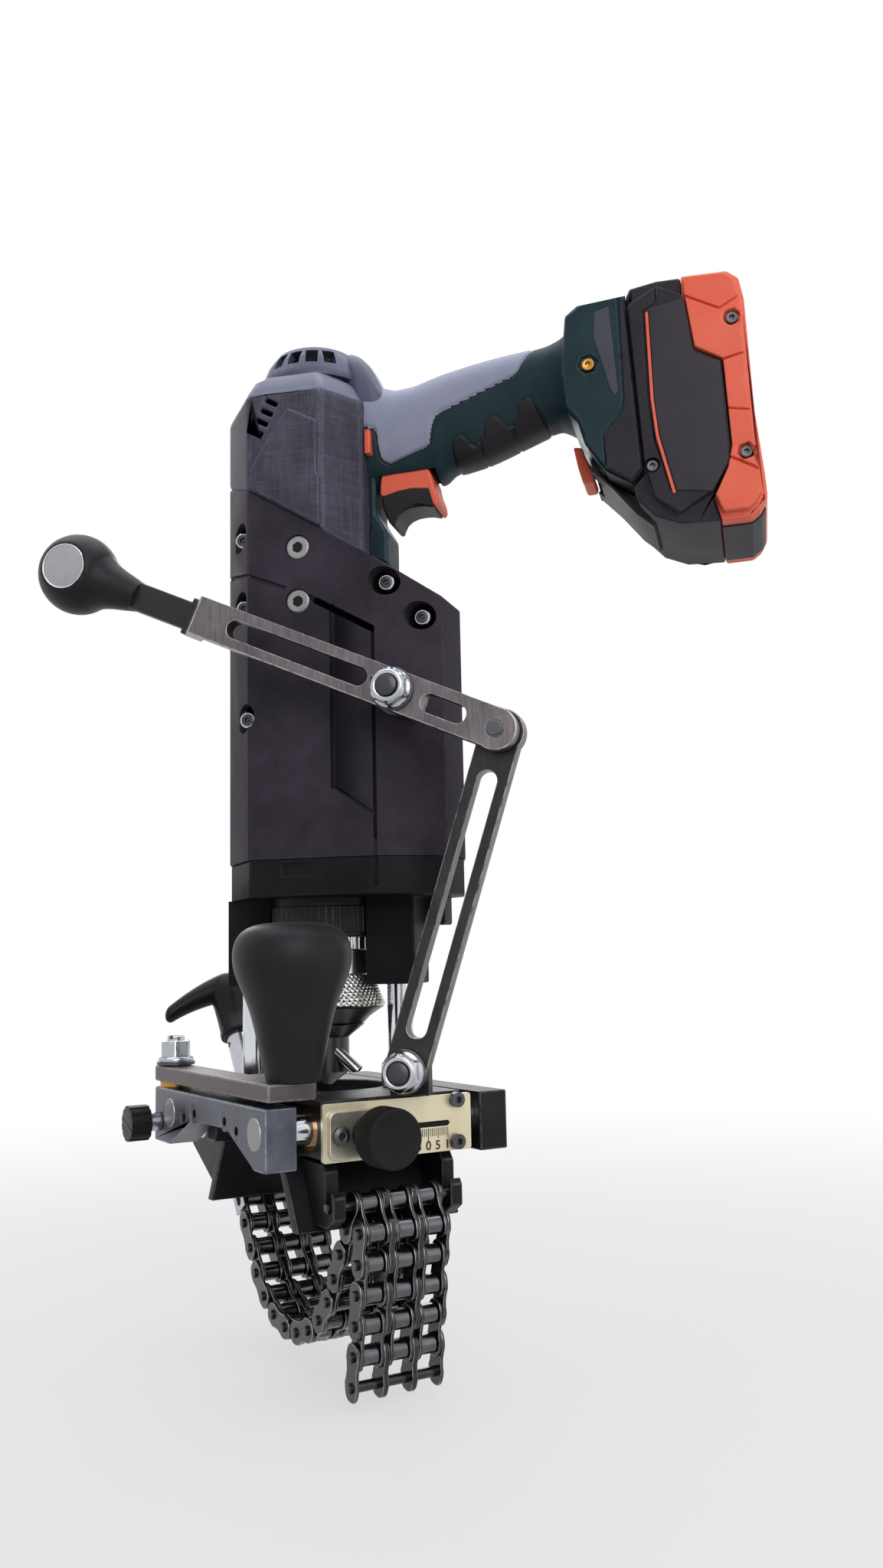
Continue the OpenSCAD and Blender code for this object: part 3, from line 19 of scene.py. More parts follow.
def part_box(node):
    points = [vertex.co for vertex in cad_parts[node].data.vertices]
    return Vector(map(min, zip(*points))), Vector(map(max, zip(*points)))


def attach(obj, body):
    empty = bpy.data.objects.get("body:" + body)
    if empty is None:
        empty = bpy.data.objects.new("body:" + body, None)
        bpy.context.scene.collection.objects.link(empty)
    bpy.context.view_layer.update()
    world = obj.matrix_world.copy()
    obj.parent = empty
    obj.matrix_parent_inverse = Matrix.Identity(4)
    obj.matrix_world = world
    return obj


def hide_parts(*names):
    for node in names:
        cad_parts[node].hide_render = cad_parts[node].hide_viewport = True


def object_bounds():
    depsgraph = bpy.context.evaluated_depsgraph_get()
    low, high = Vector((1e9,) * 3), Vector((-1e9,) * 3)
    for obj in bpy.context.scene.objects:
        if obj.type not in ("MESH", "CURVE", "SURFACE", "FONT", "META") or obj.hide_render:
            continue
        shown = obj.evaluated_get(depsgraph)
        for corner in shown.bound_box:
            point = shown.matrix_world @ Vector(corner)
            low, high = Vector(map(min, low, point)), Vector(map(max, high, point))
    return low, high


scene = bpy.context.scene
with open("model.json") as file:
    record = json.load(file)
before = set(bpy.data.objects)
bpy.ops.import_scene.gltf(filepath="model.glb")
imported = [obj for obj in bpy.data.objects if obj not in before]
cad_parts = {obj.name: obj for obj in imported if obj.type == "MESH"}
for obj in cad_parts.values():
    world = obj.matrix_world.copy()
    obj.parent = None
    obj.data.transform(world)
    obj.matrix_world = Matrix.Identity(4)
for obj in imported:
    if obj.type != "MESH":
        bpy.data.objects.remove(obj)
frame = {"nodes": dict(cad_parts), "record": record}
cad_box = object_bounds()
MM = 0.001
ROOT_HALF = math.sqrt(0.5)
body_of_node = {n: b for b, ns in frame["record"]["behaviour"]["bodies"].items() for n in ns}
print("nodes", len(frame["nodes"]), "box", [round(c, 3) for c in (*cad_box[0], *cad_box[1])])

# %% [markdown]
# The camera stands where the photograph was taken: low, a little left of the scale plate, looking up at the
# battery. A matrix built from its three directions is exact, where a track constraint would lose the roll.

# %% Camera
FOCAL_MM, SENSOR_MM = 29.91, 36
CAMERA_AT = (-0.27897, -0.56853, 0.11801)
YAW, TILT, ROLL = (math.radians(a) for a in (31.3044, 7.5993, -1.2208))

ahead = Vector((math.sin(YAW) * math.cos(TILT), math.cos(YAW) * math.cos(TILT), math.sin(TILT)))
level_right = Vector((math.cos(YAW), -math.sin(YAW), 0))
level_up = level_right.cross(ahead)
right = level_right * math.cos(ROLL) + level_up * math.sin(ROLL)
up = level_up * math.cos(ROLL) - level_right * math.sin(ROLL)
camera = bpy.data.objects.new("photo_camera", bpy.data.cameras.new("photo_camera"))
camera.data.lens, camera.data.sensor_width = FOCAL_MM, SENSOR_MM
camera.matrix_world = Matrix.Translation(CAMERA_AT) @ Matrix((right, up, -ahead)).transposed().to_4x4()
camera.data.clip_start, camera.data.clip_end = 0.01, 50
scene.collection.objects.link(camera)
scene.camera = camera
print("camera looks along", [round(c, 3) for c in ahead])

# %% [markdown]
# Every finish below is a small node tree. One function adds a node, sets what is given by name and links
# what is given as a socket; one more turns the sRGB hex of a colour chart into the linear numbers that
# shaders work in.

# %% Node and colour helpers
def add(tree, kind, inputs=None, **settings):
    """Add a node; inputs maps a socket's name or number to a value, or to the socket that feeds it."""
    node = tree.nodes.new(kind)
    for key, value in settings.items():
        setattr(node, key, value)
    for key, value in (inputs or {}).items():
        if isinstance(value, bpy.types.NodeSocket):
            tree.links.new(value, node.inputs[key])
        else:
            node.inputs[key].default_value = value
    return node


def fresh_tree(owner):
    """The node tree of a material or a world, emptied."""
    owner.use_nodes = True
    owner.node_tree.nodes.clear()
    return owner.node_tree


def linear(hex_code):
    channels = [int(hex_code[i:i + 2], 16) / 255 for i in (1, 3, 5)]
    return (*[c / 12.92 if c <= 0.04045 else ((c + 0.055) / 1.055) ** 2.4 for c in channels], 1.0)


# %% [markdown]
# The stage is a pale floor and a white surround, so the black casing stands clear of it. The floor takes
# the soft shadow; only what the camera or a mirror sees is lifted to white, never the light on the machine.

# %% Floor, surround and lamps
FLOOR_DROP, FLOOR_HALF = 0.004, 6
scene.view_settings.view_transform = "Standard"
world = bpy.data.worlds.new("white_surround")
scene.world = world
sky = fresh_tree(world)
path = add(sky, "ShaderNodeLightPath")
seen = add(sky, "ShaderNodeMath", {0: path.outputs["Is Camera Ray"], 1: path.outputs["Is Transmission Ray"]},
           operation="MAXIMUM")
seen = add(sky, "ShaderNodeMath", {0: seen.outputs[0], 1: path.outputs["Is Glossy Ray"]}, operation="MAXIMUM")
room = add(sky, "ShaderNodeBackground", {"Color": linear("#dfe3ea"), "Strength": 0.34})
white = add(sky, "ShaderNodeBackground", {"Color": (1, 1, 1, 1), "Strength": 1.0})
pick = add(sky, "ShaderNodeMixShader", {"Fac": seen.outputs[0], 1: room.outputs[0], 2: white.outputs[0]})
add(sky, "ShaderNodeOutputWorld", {"Surface": pick.outputs[0]})

floor_paint = bpy.data.materials.new("pale_floor_paint")
paint = fresh_tree(floor_paint)
path = add(paint, "ShaderNodeLightPath")
matt = add(paint, "ShaderNodeBsdfDiffuse", {"Color": linear("#b9b9b8")})
glow = add(paint, "ShaderNodeEmission", {"Color": (1, 1, 1, 1), "Strength": 1.0})
where = add(paint, "ShaderNodeTexCoord")
away = add(paint, "ShaderNodeVectorMath", {0: where.outputs["Object"]}, operation="LENGTH")
far = add(paint, "ShaderNodeMapRange", {"Value": away.outputs["Value"], "From Min": 0.2, "From Max": 1.1,
                                        "To Min": 0.62}, interpolation_type="SMOOTHSTEP")
seen = add(paint, "ShaderNodeMath", {0: path.outputs["Is Camera Ray"], 1: path.outputs["Is Glossy Ray"]},
           operation="MAXIMUM")
lift = add(paint, "ShaderNodeMath", {0: seen.outputs[0], 1: far.outputs[0]}, operation="MULTIPLY")
shown = add(paint, "ShaderNodeMixShader", {"Fac": lift.outputs[0], 1: matt.outputs[0], 2: glow.outputs[0]})
add(paint, "ShaderNodeOutputMaterial", {"Surface": shown.outputs[0]})
floor_mesh = bpy.data.meshes.new("floor")
floor_z = cad_box[0].z - FLOOR_DROP
floor_corners = [(x * FLOOR_HALF, y * FLOOR_HALF, floor_z) for x, y in ((-1, -1), (1, -1), (1, 1), (-1, 1))]
floor_mesh.from_pydata(floor_corners, [], [(0, 1, 2, 3)])
floor_mesh.materials.append(floor_paint)
floor = bpy.data.objects.new("floor", floor_mesh)
scene.collection.objects.link(floor)


def softbox(name, place, aim, size, watts, tint):
    lamp = bpy.data.lights.new(name, "AREA")
    lamp.shape, lamp.size, lamp.size_y = "RECTANGLE", *size
    lamp.energy, lamp.color = watts, linear(tint)[:3]
    obj = bpy.data.objects.new(name, lamp)
    obj.location = place
    obj.rotation_euler = (Vector(aim) - Vector(place)).to_track_quat("-Z", "Y").to_euler()
    scene.collection.objects.link(obj)


softbox("ceiling_lamps", (0.1, 0.1, 1.9), (0.03, 0, 0.2), (2.4, 1.6), 26, "#eef1ff")
softbox("front_box", (-0.55, -1.75, 1.0), (0, 0, 0.2), (1.5, 1.5), 22, "#ffffff")
softbox("right_fill", (1.2, -1.1, 0.4), (0.02, 0, 0.22), (1.2, 1.4), 3, "#fff4e4")
softbox("rear_rim", (0.6, 1.4, 1.0), (0, 0, 0.25), (1.2, 0.8), 9, "#ffffff")
print("floor at", round(floor_z, 4))

# %% [markdown]
# Most surfaces here are moulded plastic or worked steel. Both are the same kind of tree: a broad cloud of
# tone, a fine grain that drives the bump, a little spread in the roughness, and paler edges where the mesh
# says a face is an edge, partly rubbed wear and partly a painted edge highlight. Brushed metal only
# stretches the grain along the direction of the work.

# %% Finishes
def finish(name, tone, second, rough, metallic=0.0, grain_mm=0.35, bump=0.04, spread=0.06, cloud_mm=22.0,
           stretch=(1, 1, 1), edge=None, edge_wear_highlight_share=0.5, coat=0.0, sheen=0.0, speck=0.0, gloss=0.5,
           crossed=None):
    """tone and second are the two colours of the cloud, edge is the colour of the bevel faces, partly rubbed
    wear and partly a painted edge highlight, sizes are in mm; crossed is the stretch of a second grain that
    lies over the first."""
    mat = bpy.data.materials.new(name)
    tree = fresh_tree(mat)
    place = add(tree, "ShaderNodeTexCoord").outputs["Object"]
    cloud = add(tree, "ShaderNodeTexNoise", {"Vector": place, "Scale": 1000 / cloud_mm, "Detail": 5.0,
                                             "Roughness": 0.6})
    aligned = add(tree, "ShaderNodeMapping", {"Vector": place, "Scale": stretch})
    grain = add(tree, "ShaderNodeTexNoise", {"Vector": aligned.outputs[0], "Scale": 1000 / grain_mm,
                                             "Detail": 3.0, "Roughness": 0.55})
    height = grain.outputs["Fac"]
    if crossed:
        laid = add(tree, "ShaderNodeMapping", {"Vector": place, "Scale": crossed})
        over = add(tree, "ShaderNodeTexNoise", {"Vector": laid.outputs[0], "Scale": 1000 / grain_mm,
                                                "Detail": 3.0})
        height = add(tree, "ShaderNodeMath", {0: height, 1: over.outputs["Fac"]},
                     operation="MULTIPLY").outputs[0]
        height = add(tree, "ShaderNodeMath", {0: height, 1: 2.0}, operation="MULTIPLY").outputs[0]
    blend_at = add(tree, "ShaderNodeMapRange", {"Value": cloud.outputs["Fac"], "From Min": 0.35,
                                                "From Max": 0.68})
    colour = add(tree, "ShaderNodeMix", {"Factor": blend_at.outputs[0], 6: linear(tone), 7: linear(second)},
                 data_type="RGBA")
    shade = colour.outputs[2]
    if speck:
        flecks = add(tree, "ShaderNodeMapRange", {"Value": height, "From Min": 0.3, "From Max": 0.7,
                                                  "To Min": 1 - speck, "To Max": 1 + speck})
        grey = add(tree, "ShaderNodeCombineColor", {0: flecks.outputs[0], 1: flecks.outputs[0],
                                                    2: flecks.outputs[0]})
        shade = add(tree, "ShaderNodeMix", {"Factor": 1.0, 6: shade, 7: grey.outputs[0]}, data_type="RGBA",
                    blend_type="MULTIPLY").outputs[2]
    # Bevel faces take the edge colour in patches: rubbed wear, and a painted edge highlight
    if edge:
        edge_wear_highlight = add(tree, "ShaderNodeAttribute", attribute_name="edge")
        patch = add(tree, "ShaderNodeTexNoise", {"Vector": place, "Scale": 260.0, "Detail": 4.0})
        patchy = add(tree, "ShaderNodeMapRange", {"Value": patch.outputs["Fac"], "From Min": 0.3,
                                                  "From Max": 0.55, "To Max": edge_wear_highlight_share})
        share = add(tree, "ShaderNodeMath", {0: edge_wear_highlight.outputs["Fac"], 1: patchy.outputs[0]},
                    operation="MULTIPLY")
        shade = add(tree, "ShaderNodeMix", {"Factor": share.outputs[0], 6: shade, 7: linear(edge)},
                    data_type="RGBA").outputs[2]
    rough_at = add(tree, "ShaderNodeMapRange", {"Value": cloud.outputs["Fac"], "From Min": 0.3,
                                                "From Max": 0.7, "To Min": max(0.03, rough - spread),
                                                "To Max": min(1.0, rough + spread)})
    relief = add(tree, "ShaderNodeBump", {"Height": height, "Strength": 0.6, "Distance": bump * MM})
    shader = add(tree, "ShaderNodeBsdfPrincipled", {"Base Color": shade, "Roughness": rough_at.outputs[0],
                                                    "Metallic": metallic, "Normal": relief.outputs[0],
                                                    "Coat Weight": coat, "Sheen Weight": sheen,
                                                    "Coat Roughness": 0.25, "Specular IOR Level": gloss})
    add(tree, "ShaderNodeOutputMaterial", {"Surface": shader.outputs[0]})
    return mat


# Glass-filled nylon, spark-eroded mould skin: satin black with a warm tinge and a fine tooth
casing_black = finish("casing_nylon_black", "#332e36", "#403a43", 0.5, grain_mm=0.5, bump=0.05,
                      edge="#545158", edge_wear_highlight_share=0.3, speck=0.1, gloss=0.03)
# The skirt and sleeve bosses are the same nylon, darker and less handled
skirt_black = finish("skirt_nylon_black", "#19181b", "#222124", 0.5, grain_mm=0.5, bump=0.05, edge="#3a393d",
                     edge_wear_highlight_share=0.3, speck=0.1, gloss=0.06)
# Laser-sintered hood: charcoal with fine crossed scan lines, drawn wider than real ones so that they show
hood_charcoal = finish("hood_sintered_charcoal", "#42414b", "#53515d", 0.5, grain_mm=0.9, bump=0.1,
                       stretch=(0.06, 0.06, 1), crossed=(1, 1, 0.06), edge="#6d6f82", edge_wear_highlight_share=0.3,
                       speck=0.2, gloss=0.08)
# ABS cap in lavender grey, smooth mould skin
cap_lavender = finish("cap_abs_lavender", "#484b5f", "#54576c", 0.42, grain_mm=0.6, bump=0.03, edge="#8d90a6",
                      edge_wear_highlight_share=0.25, gloss=0.3)
# Handle shell: dark teal glass-filled nylon with a dull sheen
shell_teal = finish("shell_nylon_teal", "#1a2a2f", "#22363b", 0.44, grain_mm=0.45, bump=0.035, edge="#4e666c",
                    edge_wear_highlight_share=0.3, speck=0.06, gloss=0.1)
# Soft-touch panel over the grip: grey-lavender elastomer
panel_grey = finish("panel_elastomer_grey", "#7b7f94", "#888a9f", 0.5, grain_mm=0.5, bump=0.04, sheen=0.15)
# Black rubber of grips, bulb and ball: matte, a faint bloom
rubber_black = finish("rubber_black", "#171619", "#1f1d20", 0.42, grain_mm=0.6, bump=0.03, sheen=0.05,
                      gloss=0.16)
# Hard black plastic of knobs and the T handle
knob_black = finish("knob_phenolic_black", "#161617", "#1e1e20", 0.38, grain_mm=0.6, bump=0.03,
                    edge="#3c3c40", edge_wear_highlight_share=0.3, gloss=0.14)
# Stop knob: the same plastic, spark-eroded dull; torque ring: moulded nylon, nearly black
knob_matt = finish("knob_phenolic_dull", "#1b1b1b", "#232322", 0.6, grain_mm=0.4, bump=0.04, speck=0.12,
                   gloss=0.1)
ring_black = finish("ring_nylon_black", "#18181a", "#202022", 0.45, grain_mm=0.5, bump=0.03, gloss=0.22)
# Battery case: black polycarbonate blend, slightly warm
pack_black = finish("pack_polycarbonate_black", "#262328", "#302d32", 0.47, grain_mm=0.45, bump=0.05,
                    edge="#4b484d", edge_wear_highlight_share=0.3, speck=0.08, gloss=0.1)
# Smooth film over the battery's side, and the soft dark panel of the foot
label_black = finish("panel_film_black", "#2a262d", "#322d35", 0.34, grain_mm=0.9, bump=0.01, speck=0.05,
                     gloss=0.16)
panel_dark = finish("panel_elastomer_dark", "#3a3a42", "#44434c", 0.55, grain_mm=0.4, bump=0.05, speck=0.15,
                    gloss=0.22)
# Orange-red ABS of trigger, bumpers and buttons
signal_orange = finish("signal_abs_orange", "#e25d43", "#e8694f", 0.45, grain_mm=0.7, bump=0.03,
                       edge="#ee8069", edge_wear_highlight_share=0.4, gloss=0.25)
# Blackened flat steel of the lever, brushed across the bar so that the streaks stand upright
lever_steel = finish("lever_steel_brushed", "#5d585b", "#726c6f", 0.36, metallic=0.8, grain_mm=1.3, bump=0.03,
                     stretch=(1, 1, 0.1), edge="#b5aeac", edge_wear_highlight_share=0.9, speck=0.22)
# The link is the same steel, blackened deeper
link_steel = finish("link_steel_blackened", "#2c292b", "#3a3637", 0.34, metallic=0.75, grain_mm=1.3,
                    bump=0.03, stretch=(1, 1, 0.15), edge="#9a9592", edge_wear_highlight_share=0.9, speck=0.16)
# Painted shade on the grip end of the lever beyond the bend: nearly black and a little glossy
arm_painted_shade = finish("arm_painted_shade_black", "#1b1b1d", "#252528", 0.34, grain_mm=0.8, bump=0.02, edge="#55555a",
                   gloss=0.3)
# Bare ground steel of the end bar and side lever, blue-grey with mill stains
bar_steel = finish("bar_steel_ground", "#4b4e57", "#5f626c", 0.38, metallic=0.8, grain_mm=0.9, bump=0.03,
                   stretch=(1, 1, 6), edge="#9da1aa", speck=0.15, cloud_mm=14)
# The side lever is plain flat steel, browner and not ground
sway_steel = finish("sway_steel_flat", "#4b4447", "#5c5457", 0.4, metallic=0.75, grain_mm=0.9, bump=0.03,
                    stretch=(6, 1, 6), edge="#a39b9b", speck=0.15, cloud_mm=14)
# Cut ends of rods and pins: the bare core, faced on a lathe and dull
cut_end = finish("rod_end_faced", "#8f8a8a", "#9d9897", 0.42, metallic=0.7, grain_mm=0.8, bump=0.02)
# Black oxide on the saddle, table and brackets: nearly black steel; its paler edges are partly rubbed
# wear and partly a painted highlight
oxide_black = finish("oxide_steel_black", "#17171a", "#222226", 0.42, metallic=0.35, grain_mm=0.7, bump=0.04,
                     edge="#5d5d63", gloss=0.22)
# Hard chrome on rods and columns
chrome = finish("rod_hard_chrome", "#c9ccd2", "#d6d9de", 0.13, metallic=1.0, grain_mm=0.8, bump=0.004,
                spread=0.03)
# Zinc plate on nuts, washers and bolts: bright with a milky bloom
zinc = finish("fastener_zinc", "#a9acb4", "#bcbec3", 0.2, metallic=1.0, grain_mm=0.8, bump=0.012,
              edge="#e3e3e2")
# Countersunk casing screws: dull grey zinc flake
screw_grey = finish("screw_zinc_flake", "#7c7c7f", "#8e8d8f", 0.42, metallic=0.8, grain_mm=0.5, bump=0.02)
# Socket screws, darker phosphate
phosphate = finish("screw_phosphate", "#4a4a4e", "#5a5a5d", 0.36, metallic=0.85, grain_mm=0.5, bump=0.02,
                   edge="#96969a")
# Oiled chain steel: dark plates, wet highlights
chain_steel = finish("chain_steel_oiled", "#2a282b", "#3b383a", 0.22, metallic=0.85, grain_mm=1.2, bump=0.03,
                     cloud_mm=9, edge="#9a989b", edge_wear_highlight_share=0.7, coat=0.4, speck=0.12)
roller_steel = finish("roller_steel_oiled", "#57555a", "#67656a", 0.15, metallic=0.95, grain_mm=1.0,
                      bump=0.012, cloud_mm=7, coat=0.3)
# Satin ivory-gold plate of the scale
plate_satin = finish("plate_satin_ivory", "#d3c9a8", "#ddd5ba", 0.36, metallic=0.55, grain_mm=0.9, bump=0.01,
                     stretch=(8, 1, 1), edge="#efe8d2", speck=0.05)
stop_satin = finish("stop_zinc_satin", "#b9b4a6", "#cac5b6", 0.3, metallic=0.85, grain_mm=0.8, bump=0.012,
                    edge="#e6e2d6")
# Nickel on the chuck, and bright ground tool steel
nickel = finish("chuck_nickel", "#c6c6c5", "#d3d2cf", 0.26, metallic=1.0, grain_mm=0.6, bump=0.01,
                edge="#e8e6e0")
tool_steel = finish("tool_steel_dark", "#3e3d40", "#4b4a4c", 0.32, metallic=0.85, grain_mm=0.7, bump=0.02,
                    edge="#85858a")
# Ground forming pins, bright, and the ball's brushed disc
pin_steel = finish("pin_steel_ground", "#8f8e8c", "#a5a3a0", 0.2, metallic=1.0, grain_mm=0.6, bump=0.008)
disc_brushed = finish("disc_aluminium_brushed", "#97949a", "#a8a5aa", 0.26, metallic=1.0, grain_mm=0.9,
                      bump=0.01, stretch=(1, 1, 9), speck=0.08)
# Bronze bushes and copper windings, seen only in gaps
bronze = finish("bush_bronze", "#a97c3c", "#ba8c4a", 0.3, metallic=1.0, grain_mm=0.8, bump=0.015)
winding = finish("winding_copper", "#8a5334", "#a06540", 0.35, metallic=0.9, grain_mm=1.2, bump=0.05,
                 stretch=(6, 6, 1))
aluminium = finish("case_aluminium", "#8d8f94", "#9ea0a4", 0.4, metallic=0.9, grain_mm=0.8, bump=0.03)
# Near black painted shade for the casing's grooves and wells, screw sockets and the gap behind the scale's
# slot
painted_recess_shade = finish("painted_recess_shade_black", "#0b0b0c", "#101011", 0.7, grain_mm=0.8, bump=0.02, gloss=0.22)
ink = finish("engraving_ink", "#221d13", "#2b2519", 0.6, grain_mm=0.5, bump=0.0)
print("finishes", len(bpy.data.materials))

# %% [markdown]
# A machined or moulded edge is never knife sharp: it catches a thin line of light, and that line is where
# finish rubs off first. Each hard piece here is a merged copy of its solid with a bevel on every crease.
# One width for the whole mesh would fold over itself beside small holes, so every crease gets a weight that
# is cut down to the room that its neighbours leave, and stays sharp where there is none. Faces that the
# bevel adds are marked as edge, and the finishes paint them paler, partly as rubbed wear and partly as a
# painted edge highlight.

# %% Softened copies of the solids
def put(name, mesh, body, nodes=()):
    obj = bpy.data.objects.new(name, mesh)
    scene.collection.objects.link(obj)
    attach(obj, body)
    if nodes:
        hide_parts(*nodes)
    return obj


def baked(name, mesh, dress):
    """Lets dress(obj) add modifiers to a passing object, and returns the mesh that they make."""
    obj = bpy.data.objects.new("passing", mesh)
    scene.collection.objects.link(obj)
    dress(obj)
    bpy.context.view_layer.update()
    made = bpy.data.meshes.new_from_object(obj.evaluated_get(bpy.context.evaluated_depsgraph_get()))
    made.name = name
    bpy.data.objects.remove(obj)
    bpy.data.meshes.remove(mesh)
    return made


def welded(bm, reach):
    """Joins points closer than reach, and takes out the edges inside flat faces."""
    bmesh.ops.remove_doubles(bm, verts=bm.verts, dist=reach)
    bmesh.ops.dissolve_limit(bm, angle_limit=math.radians(0.5), verts=bm.verts, edges=bm.edges)
    return bm


def merged(node):
    bm = bmesh.new()
    bm.from_mesh(frame["nodes"][node].data)
    return welded(bm, 2e-6)


def edge_distance(edge, point):
    ends = [v.co for v in edge.verts]
    along = min(1.0, max(0.0, intersect_point_line(point, *ends)[1]))
    return (ends[0].lerp(ends[1], along) - point).length


CREASE_ANGLE = math.radians(26)
BEVEL_STEPS, BEVEL_TRIES = 2, 6
ROOM_PER_WIDTH, LEAST_WEIGHT, STRAY_SHARE, EASED = 2.3, 0.12, 0.8, 0.3


def round_edges(name, bm, width_mm, skip=None):
    """Bevels every crease of bm by width_mm, or by what its neighbours leave room for; creases whose middle
    passes skip stay sharp. Where it strays from the solid, the creases nearby are eased and it runs again."""
    width = width_mm * MM
    weight = bm.edges.layers.float.new("bevel_weight_edge")
    creases = [e for e in bm.edges if len(e.link_faces) == 2 and e.calc_face_angle(0) > CREASE_ANGLE]
    for edge in creases:
        room = min(e.calc_length() for v in edge.verts for e in v.link_edges) / (ROOM_PER_WIDTH * width)
        edge[weight] = 0.0 if skip and skip((edge.verts[0].co + edge.verts[1].co) / 2) else min(1.0, room)
    for edge in bm.edges:
        edge.smooth = True
    for face in bm.faces:
        face.smooth = True
        face.material_index = 0
    surface = BVHTree.FromBMesh(bm)

    def dress(obj):
        bevel = obj.modifiers.new("edge_round", "BEVEL")
        bevel.limit_method, bevel.width, bevel.segments, bevel.material = "WEIGHT", width, BEVEL_STEPS, 1
        bevel.use_clamp_overlap = False
        obj.modifiers.new("flat_faces", "WEIGHTED_NORMAL").keep_sharp = True

    for attempt in range(BEVEL_TRIES):
        for edge in creases:
            if edge[weight] < LEAST_WEIGHT:
                edge[weight], edge.smooth = 0.0, False
        mesh = bpy.data.meshes.new("creased")
        bm.to_mesh(mesh)
        for spare in ("custom_normal", "sharp_face"):
            if spare in mesh.attributes:
                mesh.attributes.remove(mesh.attributes[spare])
        for _ in ("face", "edge"):
            mesh.materials.append(None)
        mesh = baked(name, mesh, dress)
        strays = [v.co.copy() for v in mesh.vertices if surface.find_nearest(v.co)[3] > STRAY_SHARE * width]
        if not strays or attempt == BEVEL_TRIES - 1:
            break
        for edge in creases:
            if any(edge_distance(edge, stray) < 3 * width + 2 * MM for stray in strays):
                edge[weight] *= EASED
        bpy.data.meshes.remove(mesh)
    bm.free()
    # The edge attribute marks bevel faces for the finishes' paler edge colour, a painted highlight as well as
    # wear
    marks = np.zeros(len(mesh.polygons), np.int32)
    mesh.polygons.foreach_get("material_index", marks)
    mesh.attributes.new("edge", "FLOAT", "FACE").data.foreach_set("value", (marks == 1).astype(np.float32))
    mesh.polygons.foreach_set("material_index", np.zeros(len(marks), np.int32))
    mesh.materials.clear()
    return mesh


def softened(node, width_mm, material):
    mesh = round_edges(node + "_skin", merged(node), width_mm)
    mesh.materials.append(material)
    return put(node + "_skin", mesh, body_of_node[node], [node])


SKINS = {
    "saddle_block": (0.8, oxide_black), "left_end_bar": (0.8, bar_steel),
    "right_end_bar": (0.8, oxide_black), "leg_brackets": (0.6, oxide_black), "tension_trunnion": (0.5, zinc),
    "sway_lever": (0.9, sway_steel), "slide_table": (0.8, oxide_black), "link_bracket": (0.6, oxide_black),
    "link_pin": (0.3, phosphate), "cross_rods": (0.6, chrome),
    "rear_casing": (1.2, casing_black), "casing_skirt": (1.0, skirt_black),
    "motor_cover": (2.2, hood_charcoal), "vent_cap": (0.9, cap_lavender),
    "direction_button": (0.7, signal_orange), "feed_lever": (0.7, lever_steel),
    "feed_link": (0.7, link_steel), "tee_socket": (0.5, zinc), "lock_knob": (0.8, knob_black),
    "gear_case": (0.4, ring_black), "spindle": (0.3, nickel),
}
skins = {node: softened(node, *look) for node, look in SKINS.items()}
print("softened", len(skins), "solids")

# %% [markdown]
# The drive is turned 45 degrees about the spindle, so its own pieces are easier to give in its frame: u
# along the handle, v across it towards the rear, z up. One function turns such a point, in millimetres,
# into the scene, one does so for arrays of points, and one gives u and v back.

# %% The drive's own frame
def drive(u, v, z):
    return Vector(((u + v) * ROOT_HALF, (v - u) * ROOT_HALF, z)) * MM


def drive_points(u, v, z):
    return np.stack([(u + v) * ROOT_HALF, (v - u) * ROOT_HALF, z], axis=-1) * MM


def along_drive(x, y):
    return (x - y) * ROOT_HALF, (x + y) * ROOT_HALF


def distance_to(path, u, z):
    """Distance in mm from each point u, z to an open path of (u, z) points."""
    best = np.full(np.shape(u), 1e9)
    for (a0, b0), (a1, b1) in zip(path[:-1], path[1:]):
        du, dz = a1 - a0, b1 - b0
        t = np.clip(((u - a0) * du + (z - b0) * dz) / (du * du + dz * dz), 0, 1)
        best = np.minimum(best, np.hypot(u - a0 - t * du, z - b0 - t * dz))
    return best


def inside(outline, u, z):
    """True where the points u, z lie inside the closed outline."""
    hit = np.zeros(np.shape(u), bool)
    for (a0, b0), (a1, b1) in zip(outline, outline[1:] + outline[:1]):
        if b0 != b1:
            hit ^= ((b0 > z) != (b1 > z)) & (u < (a1 - a0) * (z - b0) / (b1 - b0) + a0)
    return hit


def grid_mesh(name, points, ends=True):
    """A mesh from points[ring][step]; each ring closes on itself, and ends caps the end rings."""
    rings, steps = points.shape[:2]
    verts = points.reshape(-1, 3).tolist()
    faces = [(r * steps + s, r * steps + (s + 1) % steps, (r + 1) * steps + (s + 1) % steps,
              (r + 1) * steps + s) for r in range(rings - 1) for s in range(steps)]
    if ends:
        faces += [tuple(range(steps))[::-1], tuple((rings - 1) * steps + s for s in range(steps))]
    mesh = bpy.data.meshes.new(name)
    mesh.from_pydata(verts, [], faces)
    bm = bmesh.new()
    bm.from_mesh(mesh)
    bmesh.ops.remove_doubles(bm, verts=bm.verts, dist=1e-7)
    bmesh.ops.recalc_face_normals(bm, faces=bm.faces)
    for face in bm.faces:
        face.smooth = True
    bm.to_mesh(mesh)
    bm.free()
    return mesh


# %% [markdown]
# The grip of the drive is moulded in two shots: a teal shell, then a soft grey panel over its top and sides
# and black finger pads with a stepped upper edge below. Painting the panels would look like a decal,
# because the real ones stand a little proud behind a narrow groove. So the grip is one fine loft, and each
# point is pushed out or in by its distance to the outline of the panels. The groove round the grey panel is
# black.

